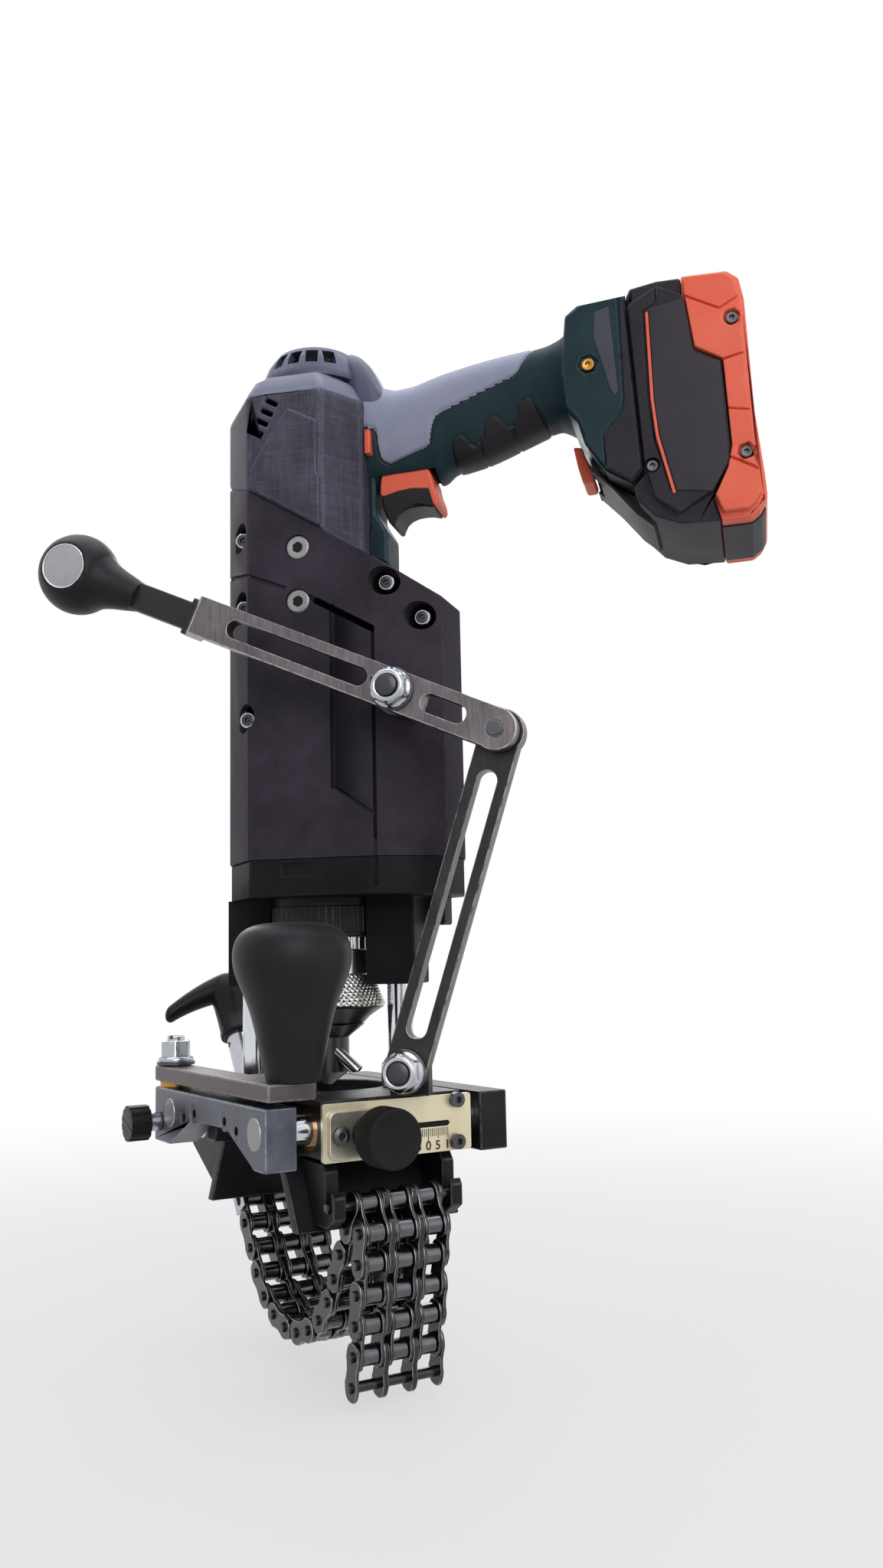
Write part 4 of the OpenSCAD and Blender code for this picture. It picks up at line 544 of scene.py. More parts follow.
# %% Grip with its soft panels
GRIP_TOP = [(27, 401), (31.7, 401.5), (34, 399.6), (41.5, 397.2), (51.4, 398.2), (63.4, 402), (79.8, 405.3),
            (93.1, 407.3), (107, 408.6), (118, 409.6), (124.4, 412), (129, 415), (134, 417)]
GRIP_LOW = [(27, 347), (33, 348.4), (40, 349.2), (58, 349.8), (61.5, 349.2), (63.4, 349.2), (65, 350.4),
            (67, 353), (70, 354.4), (73.6, 354.6), (83.1, 356.6), (90.4, 358.8), (100.6, 362.8),
            (107.8, 365.6), (117.5, 369.6), (122, 370.6), (128, 367.5), (134, 363)]
GRIP_HALF = [(27, 18), (40, 17.2), (75, 17.4), (112, 17.8), (124, 20), (134, 27)]
PANEL_EDGE = [(112, 412), (108.9, 403), (104.4, 394), (101.5, 391.8), (65.9, 378.6), (62.9, 376),
              (61.7, 371.7), (60.5, 364.5), (58.6, 362.5), (39.8, 356.5), (36.8, 357.6), (35, 359.7),
              (34, 366.1), (33.4, 373.7), (26, 376.6)]
PANEL = PANEL_EDGE + [(26, 440), (112, 440)]
PAD_EDGE = [(70.5, 340), (70.8, 358), (70.8, 363.3), (72.1, 365.3), (75.4, 367.2), (77.9, 365.3), (80, 362.5),
            (81.8, 361.6), (86.5, 365), (87, 369.4), (88.8, 372.1), (91.8, 374.4), (93.9, 373.3),
            (98.7, 368.6), (101.6, 369.8), (103.4, 372.5), (103.9, 376.8), (106.1, 379.4), (108.6, 381),
            (110.7, 380.3), (113.7, 374.8), (118.7, 366), (119, 340)]
PAD_SPLITS = [[(85.2, 340), (84.6, 364)], [(101.8, 340), (100.8, 369.6)]]

GRIP_FROM, GRIP_TO, GRIP_RINGS, GRIP_STEPS, SEAM_HALF = 27.5, 133, 226, 264, 0.5
u_at = np.linspace(GRIP_FROM, GRIP_TO, GRIP_RINGS)
turn_at = np.linspace(0, 2 * math.pi, GRIP_STEPS, endpoint=False)


def smoothed(line, at):
    """Heights of a line of (u, height) points at the given u, with its corners rounded off."""
    return np.convolve(np.pad(np.interp(at, *zip(*line)), 4, "edge"), np.ones(9) / 9, "valid")


def squared(wave, power):
    """A sine or cosine for a rounder or squarer oval."""
    return np.sign(wave) * np.abs(wave) ** (2 / power)


def raised(where, gap, height, run):
    """Stands proud by the height, and falls off within the run from the edge."""
    return np.where(where, height, 0.0) * np.clip(gap / run, 0, 1)


def groove(gap, depth, width):
    return depth * np.exp(-(gap / width) ** 2)


low, high, half = (smoothed(line, u_at) for line in (GRIP_LOW, GRIP_TOP, GRIP_HALF))

# The section is a squared oval, a tenth narrower at the bottom
narrow = 1 - 0.10 * np.clip(-np.sin(turn_at), 0, 1)
v_grid = half[:, None] * squared(np.cos(turn_at), 2.7)[None] * narrow[None]
z_grid = ((low + high) / 2)[:, None] + ((high - low) / 2)[:, None] * squared(np.sin(turn_at), 2.5)[None]
u_grid = np.broadcast_to(u_at[:, None], z_grid.shape)
panel_gap, pad_gap = distance_to(PANEL_EDGE, u_grid, z_grid), distance_to(PAD_EDGE, u_grid, z_grid)
on_panel, on_pad = inside(PANEL, u_grid, z_grid), inside(PAD_EDGE, u_grid, z_grid)
split_gap = np.minimum(*[distance_to(line, u_grid, z_grid) for line in PAD_SPLITS])
push = raised(on_panel, panel_gap, height=0.45, run=1.2) + raised(on_pad, pad_gap, height=0.6, run=1.0)
push -= groove(panel_gap, depth=0.75, width=0.55) + groove(pad_gap, depth=0.6, width=0.5)
push -= np.where(on_pad, groove(split_gap, depth=0.8, width=0.45), 0.0)
outward = np.stack([np.broadcast_to(squared(wave(turn_at), 1.3), z_grid.shape) for wave in (np.cos, np.sin)])
outward /= np.linalg.norm(outward, axis=0)
v_grid, z_grid = v_grid + push * outward[0], z_grid + push * outward[1]
# The trigger slides up into a pocket in the underside
POCKET_FROM, POCKET_TO, POCKET_HALF, POCKET_MOUTH, POCKET_ROOF = 32.7, 61.6, 10.5, 362, 368.8
underneath = (u_grid > POCKET_FROM) & (u_grid < POCKET_TO) & (z_grid < POCKET_MOUTH)
z_grid = np.where(underneath & (np.abs(v_grid) < POCKET_HALF), POCKET_ROOF, z_grid)
grip_mesh = grid_mesh("grip_loft", drive_points(u_grid, v_grid, z_grid))
for finish_of in (shell_teal, panel_grey, rubber_black):
    grip_mesh.materials.append(finish_of)
zone = np.where(on_pad | (panel_gap < SEAM_HALF), 2, np.where(on_panel, 1, 0))[:-1]
zones = np.zeros(len(grip_mesh.polygons), np.int32)
zones[:zone.size] = zone.reshape(-1)
grip_mesh.polygons.foreach_set("material_index", zones)
put("grip_loft", grip_mesh, "carriage", ["handle_shell", "handle_grip"])
print("grip", len(grip_mesh.polygons), "faces")

# %% [markdown]
# Grooves, wells and sockets on the real machine are cut or moulded in, so they are cut here too: a block
# over an outline serves as body or as tool, a ribbon gives a groove of one width along a path, and the
# exact Boolean takes the tool out of a merged copy. A painted line would vanish from the side, where a
# groove still shows.

# %% Blocks, ribbons and cuts
def prism(outline, low, high, place=lambda a, b, level: drive(a, level, b)):
    """A closed block between two levels over an outline of (a, b) points in mm; by default a, b are u, z."""
    bm = bmesh.new()
    rings = [[bm.verts.new(place(a, b, level)) for a, b in outline] for level in (low, high)]
    for ring in rings:
        bm.faces.new(ring)
    for i in range(len(outline)):
        bm.faces.new((rings[0][i - 1], rings[0][i], rings[1][i], rings[1][i - 1]))
    bmesh.ops.recalc_face_normals(bm, faces=bm.faces)
    return bm


def slab(outline, half):
    """A block that reaches as far to one side of the drive as to the other."""
    return prism(outline, -half, half)


def ribbon(path, width):
    """Outline of a groove of one width along an open path of (a, b) points, with round ends."""
    spots = [Vector(p) for p in path]
    ways = [(b - a).normalized() for a, b in zip(spots[:-1], spots[1:])]
    left, right = [], []
    for spot, before, after in zip(spots, ways[:1] + ways, ways + ways[-1:]):
        across = (before.orthogonal() + after.orthogonal()) / (1 + before.dot(after)) * (width / 2)
        left.append(spot + across)
        right.append(spot - across)

    def round_end(spot, way):
        side = way.orthogonal()
        return [spot + (side * math.cos(t) + way * math.sin(t)) * (width / 2)
                for t in (math.pi * k / 6 for k in range(1, 6))]

    outline = left + round_end(spots[-1], ways[-1]) + right[::-1] + round_end(spots[0], -ways[0])
    return [tuple(p) for p in outline]


def ring_of(a, b, radius, sides=40, first=0.0):
    turns = [first + 2 * math.pi * k / sides for k in range(sides)]
    return [(a + radius * math.cos(turn), b + radius * math.sin(turn)) for turn in turns]


def cut(bm, cutters):
    """Takes each cutter out of bm with the exact Boolean, and returns the new bmesh."""
    for cutter in cutters:
        tool = bpy.data.objects.new("cutter", bpy.data.meshes.new("cutter"))
        cutter.to_mesh(tool.data)
        cutter.free()
        scene.collection.objects.link(tool)
        body = bpy.data.meshes.new("body")
        bm.to_mesh(body)

        def dress(obj):
            modifier = obj.modifiers.new("cut", "BOOLEAN")
            modifier.operation, modifier.solver, modifier.object = "DIFFERENCE", "EXACT", tool

        made = baked("cut", body, dress)
        bm.clear()
        bm.from_mesh(made)
        bpy.data.meshes.remove(made)
        bpy.data.meshes.remove(tool.data)
    return welded(bm, 4e-6)


def moulded(name, bm, width_mm, material, body, nodes=(), skip=None):
    """A piece with edges rounded by width_mm."""
    mesh = round_edges(name, bm, width_mm, skip)
    mesh.materials.append(material)
    return put(name, mesh, body, nodes)


def joined(*parts):
    """One bmesh out of several, which are used up."""
    whole = bmesh.new()
    for part in parts:
        mesh = bpy.data.meshes.new("part")
        part.to_mesh(mesh)
        whole.from_mesh(mesh)
        part.free()
        bpy.data.meshes.remove(mesh)
    return whole


def restyle(obj, material, test):
    """Gives the faces whose centre passes the test, in mm, a second material."""
    obj.data.materials.append(material)
    for face in obj.data.polygons:
        if test(*(face.center / MM)):
            face.material_index = len(obj.data.materials) - 1


print("cutting tools ready")

# %% [markdown]
# Below the grip, the shell runs down the casing as a flange, and the switch sits inside behind the trigger.
# The trigger is one moulding with a soft black finger face let into its orange body. All are blocks over
# their side view with rounded edges, because that is how such mouldings are split in the tool.

# %% Handle flange, switch and trigger
FLANGE_HALF, TRIGGER_HALF, FACE_HALF = 11, 10, 9.6
FLANGE = [(28, 313), (37, 307.5), (37, 324), (31.2, 334), (31.2, 356), (28, 356)]
moulded("grip_flange", slab(FLANGE, FLANGE_HALF), 1.6, shell_teal, "carriage")
moulded("switch_block", slab([(35, 370), (61, 370), (61, 390), (35, 390)], FLANGE_HALF), 0.6, knob_black,
        "carriage", ["switch_module"])
TRIGGER_TOP = [(33.2, 343), (33.4, 349), (35, 361), (55.5, 361), (57.6, 355), (59.6, 349.5), (60.6, 344.5),
               (62.4, 339.5), (62.8, 336.3), (61.3, 334.4), (59.8, 335.8), (57.6, 343.8), (49, 344.7),
               (41.6, 343.9), (35.2, 342.2)]
TRIGGER_FACE = [(33.4, 343.4), (41.6, 345.5), (49, 346.3), (58.4, 345.4), (60.3, 336), (59.9, 334.4),
                (56, 335.4), (52.5, 335.6), (48.6, 335.3), (45.1, 334.1), (42.6, 332.1), (41.3, 329.6),
                (40.7, 327.8), (39.4, 327.2), (37.6, 328.6), (35.8, 332.4), (34.2, 337)]
moulded("trigger_body", slab(TRIGGER_TOP, TRIGGER_HALF), 1.3, signal_orange, "trigger",
        ["trigger"])
moulded("trigger_face", slab(TRIGGER_FACE, FACE_HALF), 1.5, rubber_black, "trigger")
print("trigger and flange made")

# %% [markdown]
# The battery is a black case between orange corner bumpers. The bumpers are moulded in one shot but jointed
# by narrow grooves, with a hexagonal pocket for each case screw. The side carries a smooth panel, left
# blank, with a plain orange edge. The grooves are ribbons cut from both sides, and the nose leaves room for
# the release key.

# %% Battery case, bumpers and panel
SIDES = (-1, 1)
PACK_HALF, BUMPER_HALF, FOOT_HALF = 37.0, 37.6, 36.0
NOSE_HALF, KEY_HALF, KEY_ROOM_HALF = 30, 9, 9.8


def from_sides(outline, half, depth):
    """A cutter over the outline on both sides of the drive, to a depth below a face at the half width."""
    low, high = half - depth, half + 3
    return [prism(outline, -high, -low), prism(outline, low, high)]


def on_sides(outline, half, proud):
    """A flat block over the outline on both sides, standing proud of a face at the half width."""
    return joined(prism(outline, -half - proud, -half + 1), prism(outline, half - 1, half + proud))


BUMPER_JOINTS = [[(181, 412.1), (199.6, 402.1), (209.1, 407.2), (216, 410.9)],
                 [(186, 386.6), (199.9, 378.1), (210.7, 380.3), (217, 381.6)],
                 [(199, 355.6), (213, 353.1), (219, 352)], [(199, 333.9), (214.5, 325), (220, 321.8)]]
BUMPER_SCREWS = [(204.8, 397.5), (208.1, 334.9)]
cutters = [c for path in BUMPER_JOINTS for c in from_sides(ribbon(path, 1.0), BUMPER_HALF, 1.5)]
pockets = [ring_of(u, z, 4.1, 6, math.radians(15)) for u, z in BUMPER_SCREWS]
cutters += [c for pocket in pockets for c in from_sides(pocket, BUMPER_HALF, 3.2)]
moulded("bumper_shell", cut(merged("battery_bumpers"), cutters), 1.1, signal_orange, "battery",
        ["battery_bumpers"])

BELLY = ribbon([(214.4, 311.8), (213, 309), (209, 306), (196.8, 305.5)], 1.4)
moulded("bumper_belly", prism(BELLY, -26, 25), 0.4, pack_black, "battery")

LABEL = [(168.4, 405), (170, 406.6), (184.3, 409), (187.2, 385), (188.6, 382.2), (198.9, 377.6), (200.6, 333),
         (200, 330.4), (192.8, 318), (177.2, 320.2), (170.9, 346.2), (169.2, 363.5)]
CASE_SEAM = [(171.4, 424), (171.8, 409), (166.2, 405.6), (166.9, 363.4), (168.4, 346), (174.8, 320.5)]
NOSE_TIP = [(126, 351), (137, 349), (138.2, 340.6), (136, 337), (126, 337)]
KEY_ROOM = [(126, 360), (135.4, 359.6), (137, 352), (138.8, 347.4), (141, 341), (140.4, 335.6), (126, 335)]
SIDE_SCREW = (167.1, 333.1)
cutters = from_sides(ribbon(CASE_SEAM, 0.9), PACK_HALF, 1.2)
cutters += from_sides(ring_of(*SIDE_SCREW, 3.5), PACK_HALF, 3.0)
cutters += [slab(NOSE_TIP, NOSE_HALF), slab(KEY_ROOM, KEY_ROOM_HALF)]
moulded("pack_shell", cut(merged("battery_case"), cutters), 1.3, pack_black, "battery",
        ["battery_case"])
moulded("pack_panels", on_sides(LABEL, PACK_HALF, 0.5), 0.5, label_black, "battery")
EDGE = ribbon([(167.6, 404.2), (168.4, 363.4), (170, 346), (176.2, 319.6)], 1.3)
moulded("pack_edging", on_sides(EDGE, PACK_HALF, 0.6), 0.3, signal_orange, "battery")
RELEASE = [(128.6, 356.8), (132.8, 356.2), (134.2, 351.5), (136, 347), (138.2, 340.8), (137.6, 338.4),
           (132.8, 338.2), (130.6, 346)]
moulded("release_key", slab(RELEASE, KEY_HALF), 1.0, signal_orange, "release",
        ["release_button"])
print("battery cut by", len(BUMPER_JOINTS) + 1, "grooves a side")

# %% [markdown]
# The foot of the handle grips the battery rails. On each side it has a soft panel, a hexagonal boss with a
# brass insert, and a narrow seam. The seam and the boss are cut, the panel stands proud, and the insert is
# turned.

# %% Battery foot
FOOT_PANEL = [(143.9, 408.6), (150.6, 410.8), (153.4, 370.2), (152, 367.6), (149.9, 370.8), (143.1, 396.6)]
FOOT_GROOVE = [(154.6, 420), (155.6, 366), (154.4, 360), (146, 350.2), (146.6, 336)]
BOSS_AT = (140.1, 384.4)
cutters = from_sides(ribbon(FOOT_GROOVE, 0.9), FOOT_HALF, 1.2)
cutters += from_sides(ring_of(*BOSS_AT, 4.9, 6, math.radians(10)), FOOT_HALF, 1.8)
foot = moulded("foot_shell", cut(merged("battery_foot"), cutters), 1.3, shell_teal, "carriage",
               ["battery_foot"])
RAIL = FOOT_GROOVE + [(146.6, 325), (172, 325), (172, 420)]
restyle(foot, pack_black, lambda x, y, z: inside(RAIL, along_drive(x, y)[0], z))
moulded("foot_panels", on_sides(FOOT_PANEL, FOOT_HALF, 0.5), 0.5, panel_dark, "carriage")
print("foot made")

# %% [markdown]
# Nuts, knobs, the ball and the bulb are turned pieces. A lathe here is a list of levels along an axis, each
# with its radius and, for a hexagon, its width across flats: the smaller of the two radii wins, so a
# chamfered hexagon with a round collar comes out of one list, where joining a prism and cones would leave
# hidden faces inside.

# %% Turned pieces
FRONT, ALONG = drive(0, -1, 0) / MM, drive(1, 0, 0) / MM
X_WAY, Y_WAY, UP = Vector((1, 0, 0)), Vector((0, 1, 0)), Vector((0, 0, 1))


def turned_points(levels, origin, axis, side, steps=72):
    """Rings of points, in metres, for levels of (along, radius, across flats or nothing) in mm."""
    turn = np.linspace(0, 2 * math.pi, steps, endpoint=False)
    third = axis.cross(side)
    rings = []
    for along, radius, *flats in levels:
        reach = np.full(steps, float(radius))
        if flats:
            off_flat = (turn + math.pi / 6) % (math.pi / 3) - math.pi / 6
            reach = np.minimum(reach, flats[0] / 2 / np.cos(off_flat))
        rings.append(np.array(origin) + MM * (along * np.array(axis) + np.outer(reach * np.cos(turn), side)
                                              + np.outer(reach * np.sin(turn), third)))
    return np.array(rings)


def crisp(mesh, materials, zones=None, steps=72, sharp=38):
    """Keeps creases sharper than the angle, and colours the bands between rings by their zone numbers."""
    for material in materials:
        mesh.materials.append(material)
    if zones:
        for band, zone in enumerate(zones):
            for face in range(band * steps, (band + 1) * steps):
                mesh.polygons[face].material_index = zone
        mesh.polygons[-1].material_index = zones[-1]
    mesh.set_sharp_from_angle(angle=math.radians(sharp))
    return mesh


def lathe(name, levels, origin, axis, side, materials, zones=None, steps=72, sharp=38):
    """The mesh of a turned piece."""
    return crisp(grid_mesh(name, turned_points(levels, origin, axis, side, steps)), materials, zones, steps,
                 sharp)


def turned(name, levels, origin, axis, side, materials, body, slot, nodes=(), **look):
    return put(name, lathe(name, levels, origin, axis, side, materials, **look), body, nodes)


def flowing(points, count, window):
    """A smooth line of (a, b) points through the given ones, for profiles without corners."""
    points = np.array(points, float)
    along = np.concatenate([[0], np.cumsum(np.hypot(*np.diff(points, axis=0).T))])
    at = np.linspace(0, along[-1], count)
    line = np.stack([np.interp(at, along, points[:, k]) for k in (0, 1)])
    padded = np.pad(line, ((0, 0), (window // 2, window // 2)), "reflect", reflect_type="odd")
    return np.stack([np.convolve(row, np.ones(window) / window, "valid") for row in padded]).T


# Flange nut with a locking collar, on the end of a bolt: hexagon 15 mm across flats
NUT = [(0.1, 9.2), (0.4, 9.6), (1.5, 9.6), (2.0, 9.1), (2.05, 9.0), (2.6, 9.1), (3.4, 8.75), (3.9, 8.66, 15),
       (7.7, 8.66, 15), (8.5, 8.0, 15), (8.9, 7.4), (9.6, 7.1), (10.0, 6.5), (10.05, 5.5), (9.7, 5.0),
       (8.9, 4.95), (8.9, 4.7), (10.6, 4.6), (10.9, 4.2), (10.9, 0.6)]
NUT_ZONES = [0, 0, 0, 0] + [1] * 11 + [2] * 4
STUD_U, STUD_Z, LINK_BOLT_Z, LEVER_FRONT = 53.5, 234.0, 70.5, 65.0
link_front = -min(along_drive(v.co.x, v.co.y)[1] for v in frame["nodes"]["feed_link"].data.vertices) / MM
stud = [(-60, 0.6), (-60, 6), (-24, 6), (-24, 9.6), (-23.6, 10), (-8.9, 10), (-8.5, 9.6), (-8.5, 5.9),
        (0.1, 5.9)] + NUT
turned("lever_stud_nut", stud, drive(STUD_U, -LEVER_FRONT, STUD_Z), FRONT, ALONG,
       [phosphate, zinc, tool_steel], "carriage", "bright_steel", ["lever_stud"], zones=[0] * 9 + NUT_ZONES)
bolt = [(-16, 0.6), (-16, 4.9), (0.1, 4.9)] + NUT
turned("link_bolt_nut", bolt, drive(STUD_U, -link_front - 0.2, LINK_BOLT_Z), FRONT, ALONG,
       [phosphate, zinc, tool_steel], "table", "bright_steel", ["link_bolt"], zones=[0] * 3 + NUT_ZONES)
pivot_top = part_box("sway_pivot_bolt")[1].z / MM
PIVOT = [(-24, 0.6), (-24, 5), (-14.3, 5), (-14.2, 9.0), (-13.9, 9.3), (-12.6, 9.3), (-12.4, 8.9),
         (-12.3, 8.5), (-11.9, 8.7), (-10.9, 8.5), (-10.2, 7.7), (-10.0, 7.79, 13.5), (-3.8, 7.79, 13.5),
         (-2.7, 7.2, 13.5), (-2.3, 6.4), (-2.2, 4.2), (-0.4, 4.2), (-0.05, 3.8), (-0.05, 0.6)]
PIVOT_X, PIVOT_Y = -51.5, 65
SLOT_X, SLOT_Y = 0.8, 0.6
WASHER_LOW, WASHER_HIGH = 14.4, 12.4
pivot_at = Vector((PIVOT_X, PIVOT_Y, pivot_top)) * MM


def along_slot(a, b, level):
    return Vector((PIVOT_X + SLOT_X * a - SLOT_Y * b, PIVOT_Y + SLOT_Y * a + SLOT_X * b, level)) * MM


pivot = bmesh.new()
pivot.from_mesh(grid_mesh("pivot", turned_points(PIVOT, pivot_at, UP, Vector((SLOT_X, SLOT_Y, 0)))))
slot_tool = prism([(-6, -0.8), (6, -0.8), (6, 0.8), (-6, 0.8)], pivot_top - 1.6, pivot_top + 2, along_slot)
mesh = bpy.data.meshes.new("pivot_nut")
cut(pivot, [slot_tool]).to_mesh(mesh)
pivot_obj = put("pivot_nut", crisp(mesh, [zinc]), "saddle", ["sway_pivot_bolt"])
restyle(pivot_obj, phosphate, lambda x, y, z: pivot_top - WASHER_LOW < z < pivot_top - WASHER_HIGH)
print("link front at", round(link_front, 2), "pivot top", round(pivot_top, 2))

# %% [markdown]
# The hand knob on the lever is a rubber ball that flows into its neck like a drop. Its front is cut flat
# for a plain brushed disc in a bright rim. The side lever's bulb is the same idea with a gear-knob outline.
# Both outlines are smoothed curves, so that no ring shows in the reflections.

# %% Ball, disc and bulb
LEVER_TILT = math.radians(24)
lever_way = drive(-math.cos(LEVER_TILT), 0, math.sin(LEVER_TILT)) / MM
BALL_R, BALL_ARM, BALL_V, FLAT_AT = 19.5, 180.0, -41.0, 15.5
ball_at = drive(STUD_U, BALL_V, STUD_Z) + lever_way * BALL_ARM * MM
neck = flowing([(-35, 7.1), (-32, 7.8), (-29, 8.6), (-26, 9.2), (-23.5, 9.8), (-21, 10.5), (-18, 11.4),
                (-15.6, 12.7), (-13.8, 13.8)], 24, 5)
globe = [(BALL_R * math.cos(t), BALL_R * math.sin(t)) for t in np.radians(np.linspace(132, 1.5, 56))]
points = turned_points([(-35, 2.0), *neck, *globe], ball_at, lever_way, FRONT, 128)
outwards = (points - np.array(ball_at)) @ np.array(FRONT)
points -= np.clip(outwards - FLAT_AT * MM, 0, None)[..., None] * np.array(FRONT)
put("ball_rubber", crisp(grid_mesh("ball_rubber", points), [rubber_black], sharp=34), "lever",
    ["ball_knob"])
DISC = [(-0.6, 0.6), (-0.6, 11.0), (0.3, 11.0), (0.6, 10.8), (0.65, 10.5), (0.5, 10.3), (0.25, 10.2),
        (0.25, 0.6)]
turned("ball_disc", DISC, ball_at + FRONT * FLAT_AT * MM, FRONT, ALONG, [chrome, disc_brushed], "lever",
       "bright_steel", zones=[0, 0, 0, 0, 0, 1, 1], steps=96)
BULB = [(0.44, 0), (0.47, 0.05), (0.54, 0.16), (0.59, 0.26), (0.65, 0.36), (0.72, 0.46), (0.81, 0.55),
        (0.91, 0.635), (0.98, 0.71), (1, 0.78), (0.99, 0.85), (0.94, 0.91), (0.84, 0.955), (0.7, 0.985),
        (0.52, 1), (0.3, 1.006), (0.02, 1.008)]
BULB_X, BULB_Y, BULB_R, BULB_HIGH = -44.5, -58, 25.5, 66.0
bulb_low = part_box("sway_grip")[0].z
bulb_line = flowing([(high * BULB_HIGH, wide * BULB_R) for wide, high in BULB], 80, 9)
turned("bulb_rubber", [(0, 5), *bulb_line], Vector((BULB_X * MM, BULB_Y * MM, bulb_low)), UP, X_WAY,
       [rubber_black], "sway", "black_rubber", ["sway_grip"], steps=112, sharp=60)
print("ball at", [round(c, 4) for c in ball_at])

# %% [markdown]
# The hood over the motor tapers into the smooth lavender housing of the drive, which also forms the neck
# above the grip. A raised plate, left blank, lies on the hood's front. The lavender faces are picked by
# their height, and the neck is a short loft between the cap's shoulder and the grip.

# %% Hood plate and neck
LAVENDER_FROM, HOOD_PLATE_LEVELS, NECK_LOW = 386.6, (-44.0, -40), 374.0
restyle(skins["motor_cover"], cap_lavender, lambda x, y, z: z > LAVENDER_FROM)
HOOD_PLATE = [(-2.4, 379), (12.3, 371), (12, 344.8), (13.4, 343.4), (13.4, 318.6), (-21.6, 340), (-21.6, 350),
              (-13.2, 364)]
moulded("hood_plate", prism(HOOD_PLATE, *HOOD_PLATE_LEVELS), 1.7, hood_charcoal, "carriage")
NECK_TOP = [(13, 420.6), (18, 420.4), (23, 417.6), (29, 411), (32.6, 403.4), (35, 398.8), (38, 395),
            (41, 392)]
NECK_HALF = [(13, 9), (18, 13.5), (24, 16.8), (31, 17), (35, 16.2), (41, 13)]
u_at = np.linspace(13, 40, 64)
ring_turn = np.linspace(0, 2 * math.pi, 96, endpoint=False)
top, half = (smoothed(line, u_at) for line in (NECK_TOP, NECK_HALF))
v_grid = half[:, None] * squared(np.cos(ring_turn), 3.2)[None]
middle, rise = ((top + NECK_LOW) / 2)[:, None], ((top - NECK_LOW) / 2)[:, None]
z_grid = middle + rise * squared(np.sin(ring_turn), 2.6)[None]
u_grid = np.broadcast_to(u_at[:, None], z_grid.shape)
neck_mesh = grid_mesh("housing_neck", drive_points(u_grid, v_grid, z_grid))
put("housing_neck", crisp(neck_mesh, [cap_lavender], sharp=60), "carriage")
print("hood and neck made")

# %% [markdown]
# Screws, chain plates, rollers and scale lines are the same small shape many times over. One Geometry Nodes
# tree puts a source shape on points: each point carries its turn and its scale as attributes, the tree has
# inputs for the source, an overall size and the finish, and it ends in Realize Instances, because an export
# drops instances.

# %% Tree for repeated pieces
rows = bpy.data.node_groups.new("repeated_pieces", "GeometryNodeTree")
for label, kind in (("Places", "NodeSocketGeometry"), ("Piece", "NodeSocketObject"),
                    ("Size", "NodeSocketFloat"), ("Finish", "NodeSocketMaterial")):
    rows.interface.new_socket(label, in_out="INPUT", socket_type=kind)
rows.interface.new_socket("Pieces", in_out="OUTPUT", socket_type="NodeSocketGeometry")
given = add(rows, "NodeGroupInput")
source = add(rows, "GeometryNodeObjectInfo", {"Object": given.outputs["Piece"]})
turn_of = add(rows, "GeometryNodeInputNamedAttribute", {"Name": "turn"}, data_type="FLOAT_VECTOR")
scale_of = add(rows, "GeometryNodeInputNamedAttribute", {"Name": "scale"}, data_type="FLOAT_VECTOR")
sized = add(rows, "ShaderNodeVectorMath", {0: scale_of.outputs["Attribute"], "Scale": given.outputs["Size"]},
            operation="SCALE")
facing = add(rows, "FunctionNodeEulerToRotation", {0: turn_of.outputs["Attribute"]})
spread_out = add(rows, "GeometryNodeInstanceOnPoints", {"Points": given.outputs["Places"],
                                                        "Instance": source.outputs["Geometry"],
                                                        "Rotation": facing.outputs[0],
                                                        "Scale": sized.outputs[0]})
solid = add(rows, "GeometryNodeRealizeInstances", {0: spread_out.outputs[0]})
dressed = add(rows, "GeometryNodeSetMaterial", {"Geometry": solid.outputs[0],
                                                "Material": given.outputs["Finish"]})
add(rows, "NodeGroupOutput", {"Pieces": dressed.outputs[0]})
row_input = {s.name: s.identifier for s in rows.interface.items_tree if s.in_out == "INPUT"}


def repeated(name, piece, places, turns, material, scales=None, size=1.0):
    """A mesh with the piece on each place in metres, turned by Euler angles and scaled along its own axes."""
    points = bpy.data.meshes.new("places")
    points.from_pydata([tuple(p) for p in places], [], [])
    for label, rows_of in (("turn", turns), ("scale", scales or [(1, 1, 1)] * len(places))):
        values = np.array(rows_of, np.float32).ravel()
        points.attributes.new(label, "FLOAT_VECTOR", "POINT").data.foreach_set("vector", values)
    stock = bpy.data.objects.new("stock", piece)

    def dress(obj):
        modifier = obj.modifiers.new("rows", "NODES")
        modifier.node_group = rows
        for label, value in (("Piece", stock), ("Size", size), ("Finish", material)):
            modifier[row_input[label]] = value

    mesh = baked(name, points, dress)
    bpy.data.objects.remove(stock)
    return mesh


def together(name, *meshes):
    """One mesh with the faces and the materials of several."""
    whole, finishes = bmesh.new(), []
    for mesh in meshes:
        first = len(whole.faces)
        whole.from_mesh(mesh)
        whole.faces.ensure_lookup_table()
        for face in whole.faces[first:]:
            face.material_index += len(finishes)
        finishes += list(mesh.materials)
        bpy.data.meshes.remove(mesh)
    made = bpy.data.meshes.new(name)
    whole.to_mesh(made)
    whole.free()
    for material in finishes:
        made.materials.append(material)
    return made


print("inputs", list(row_input))
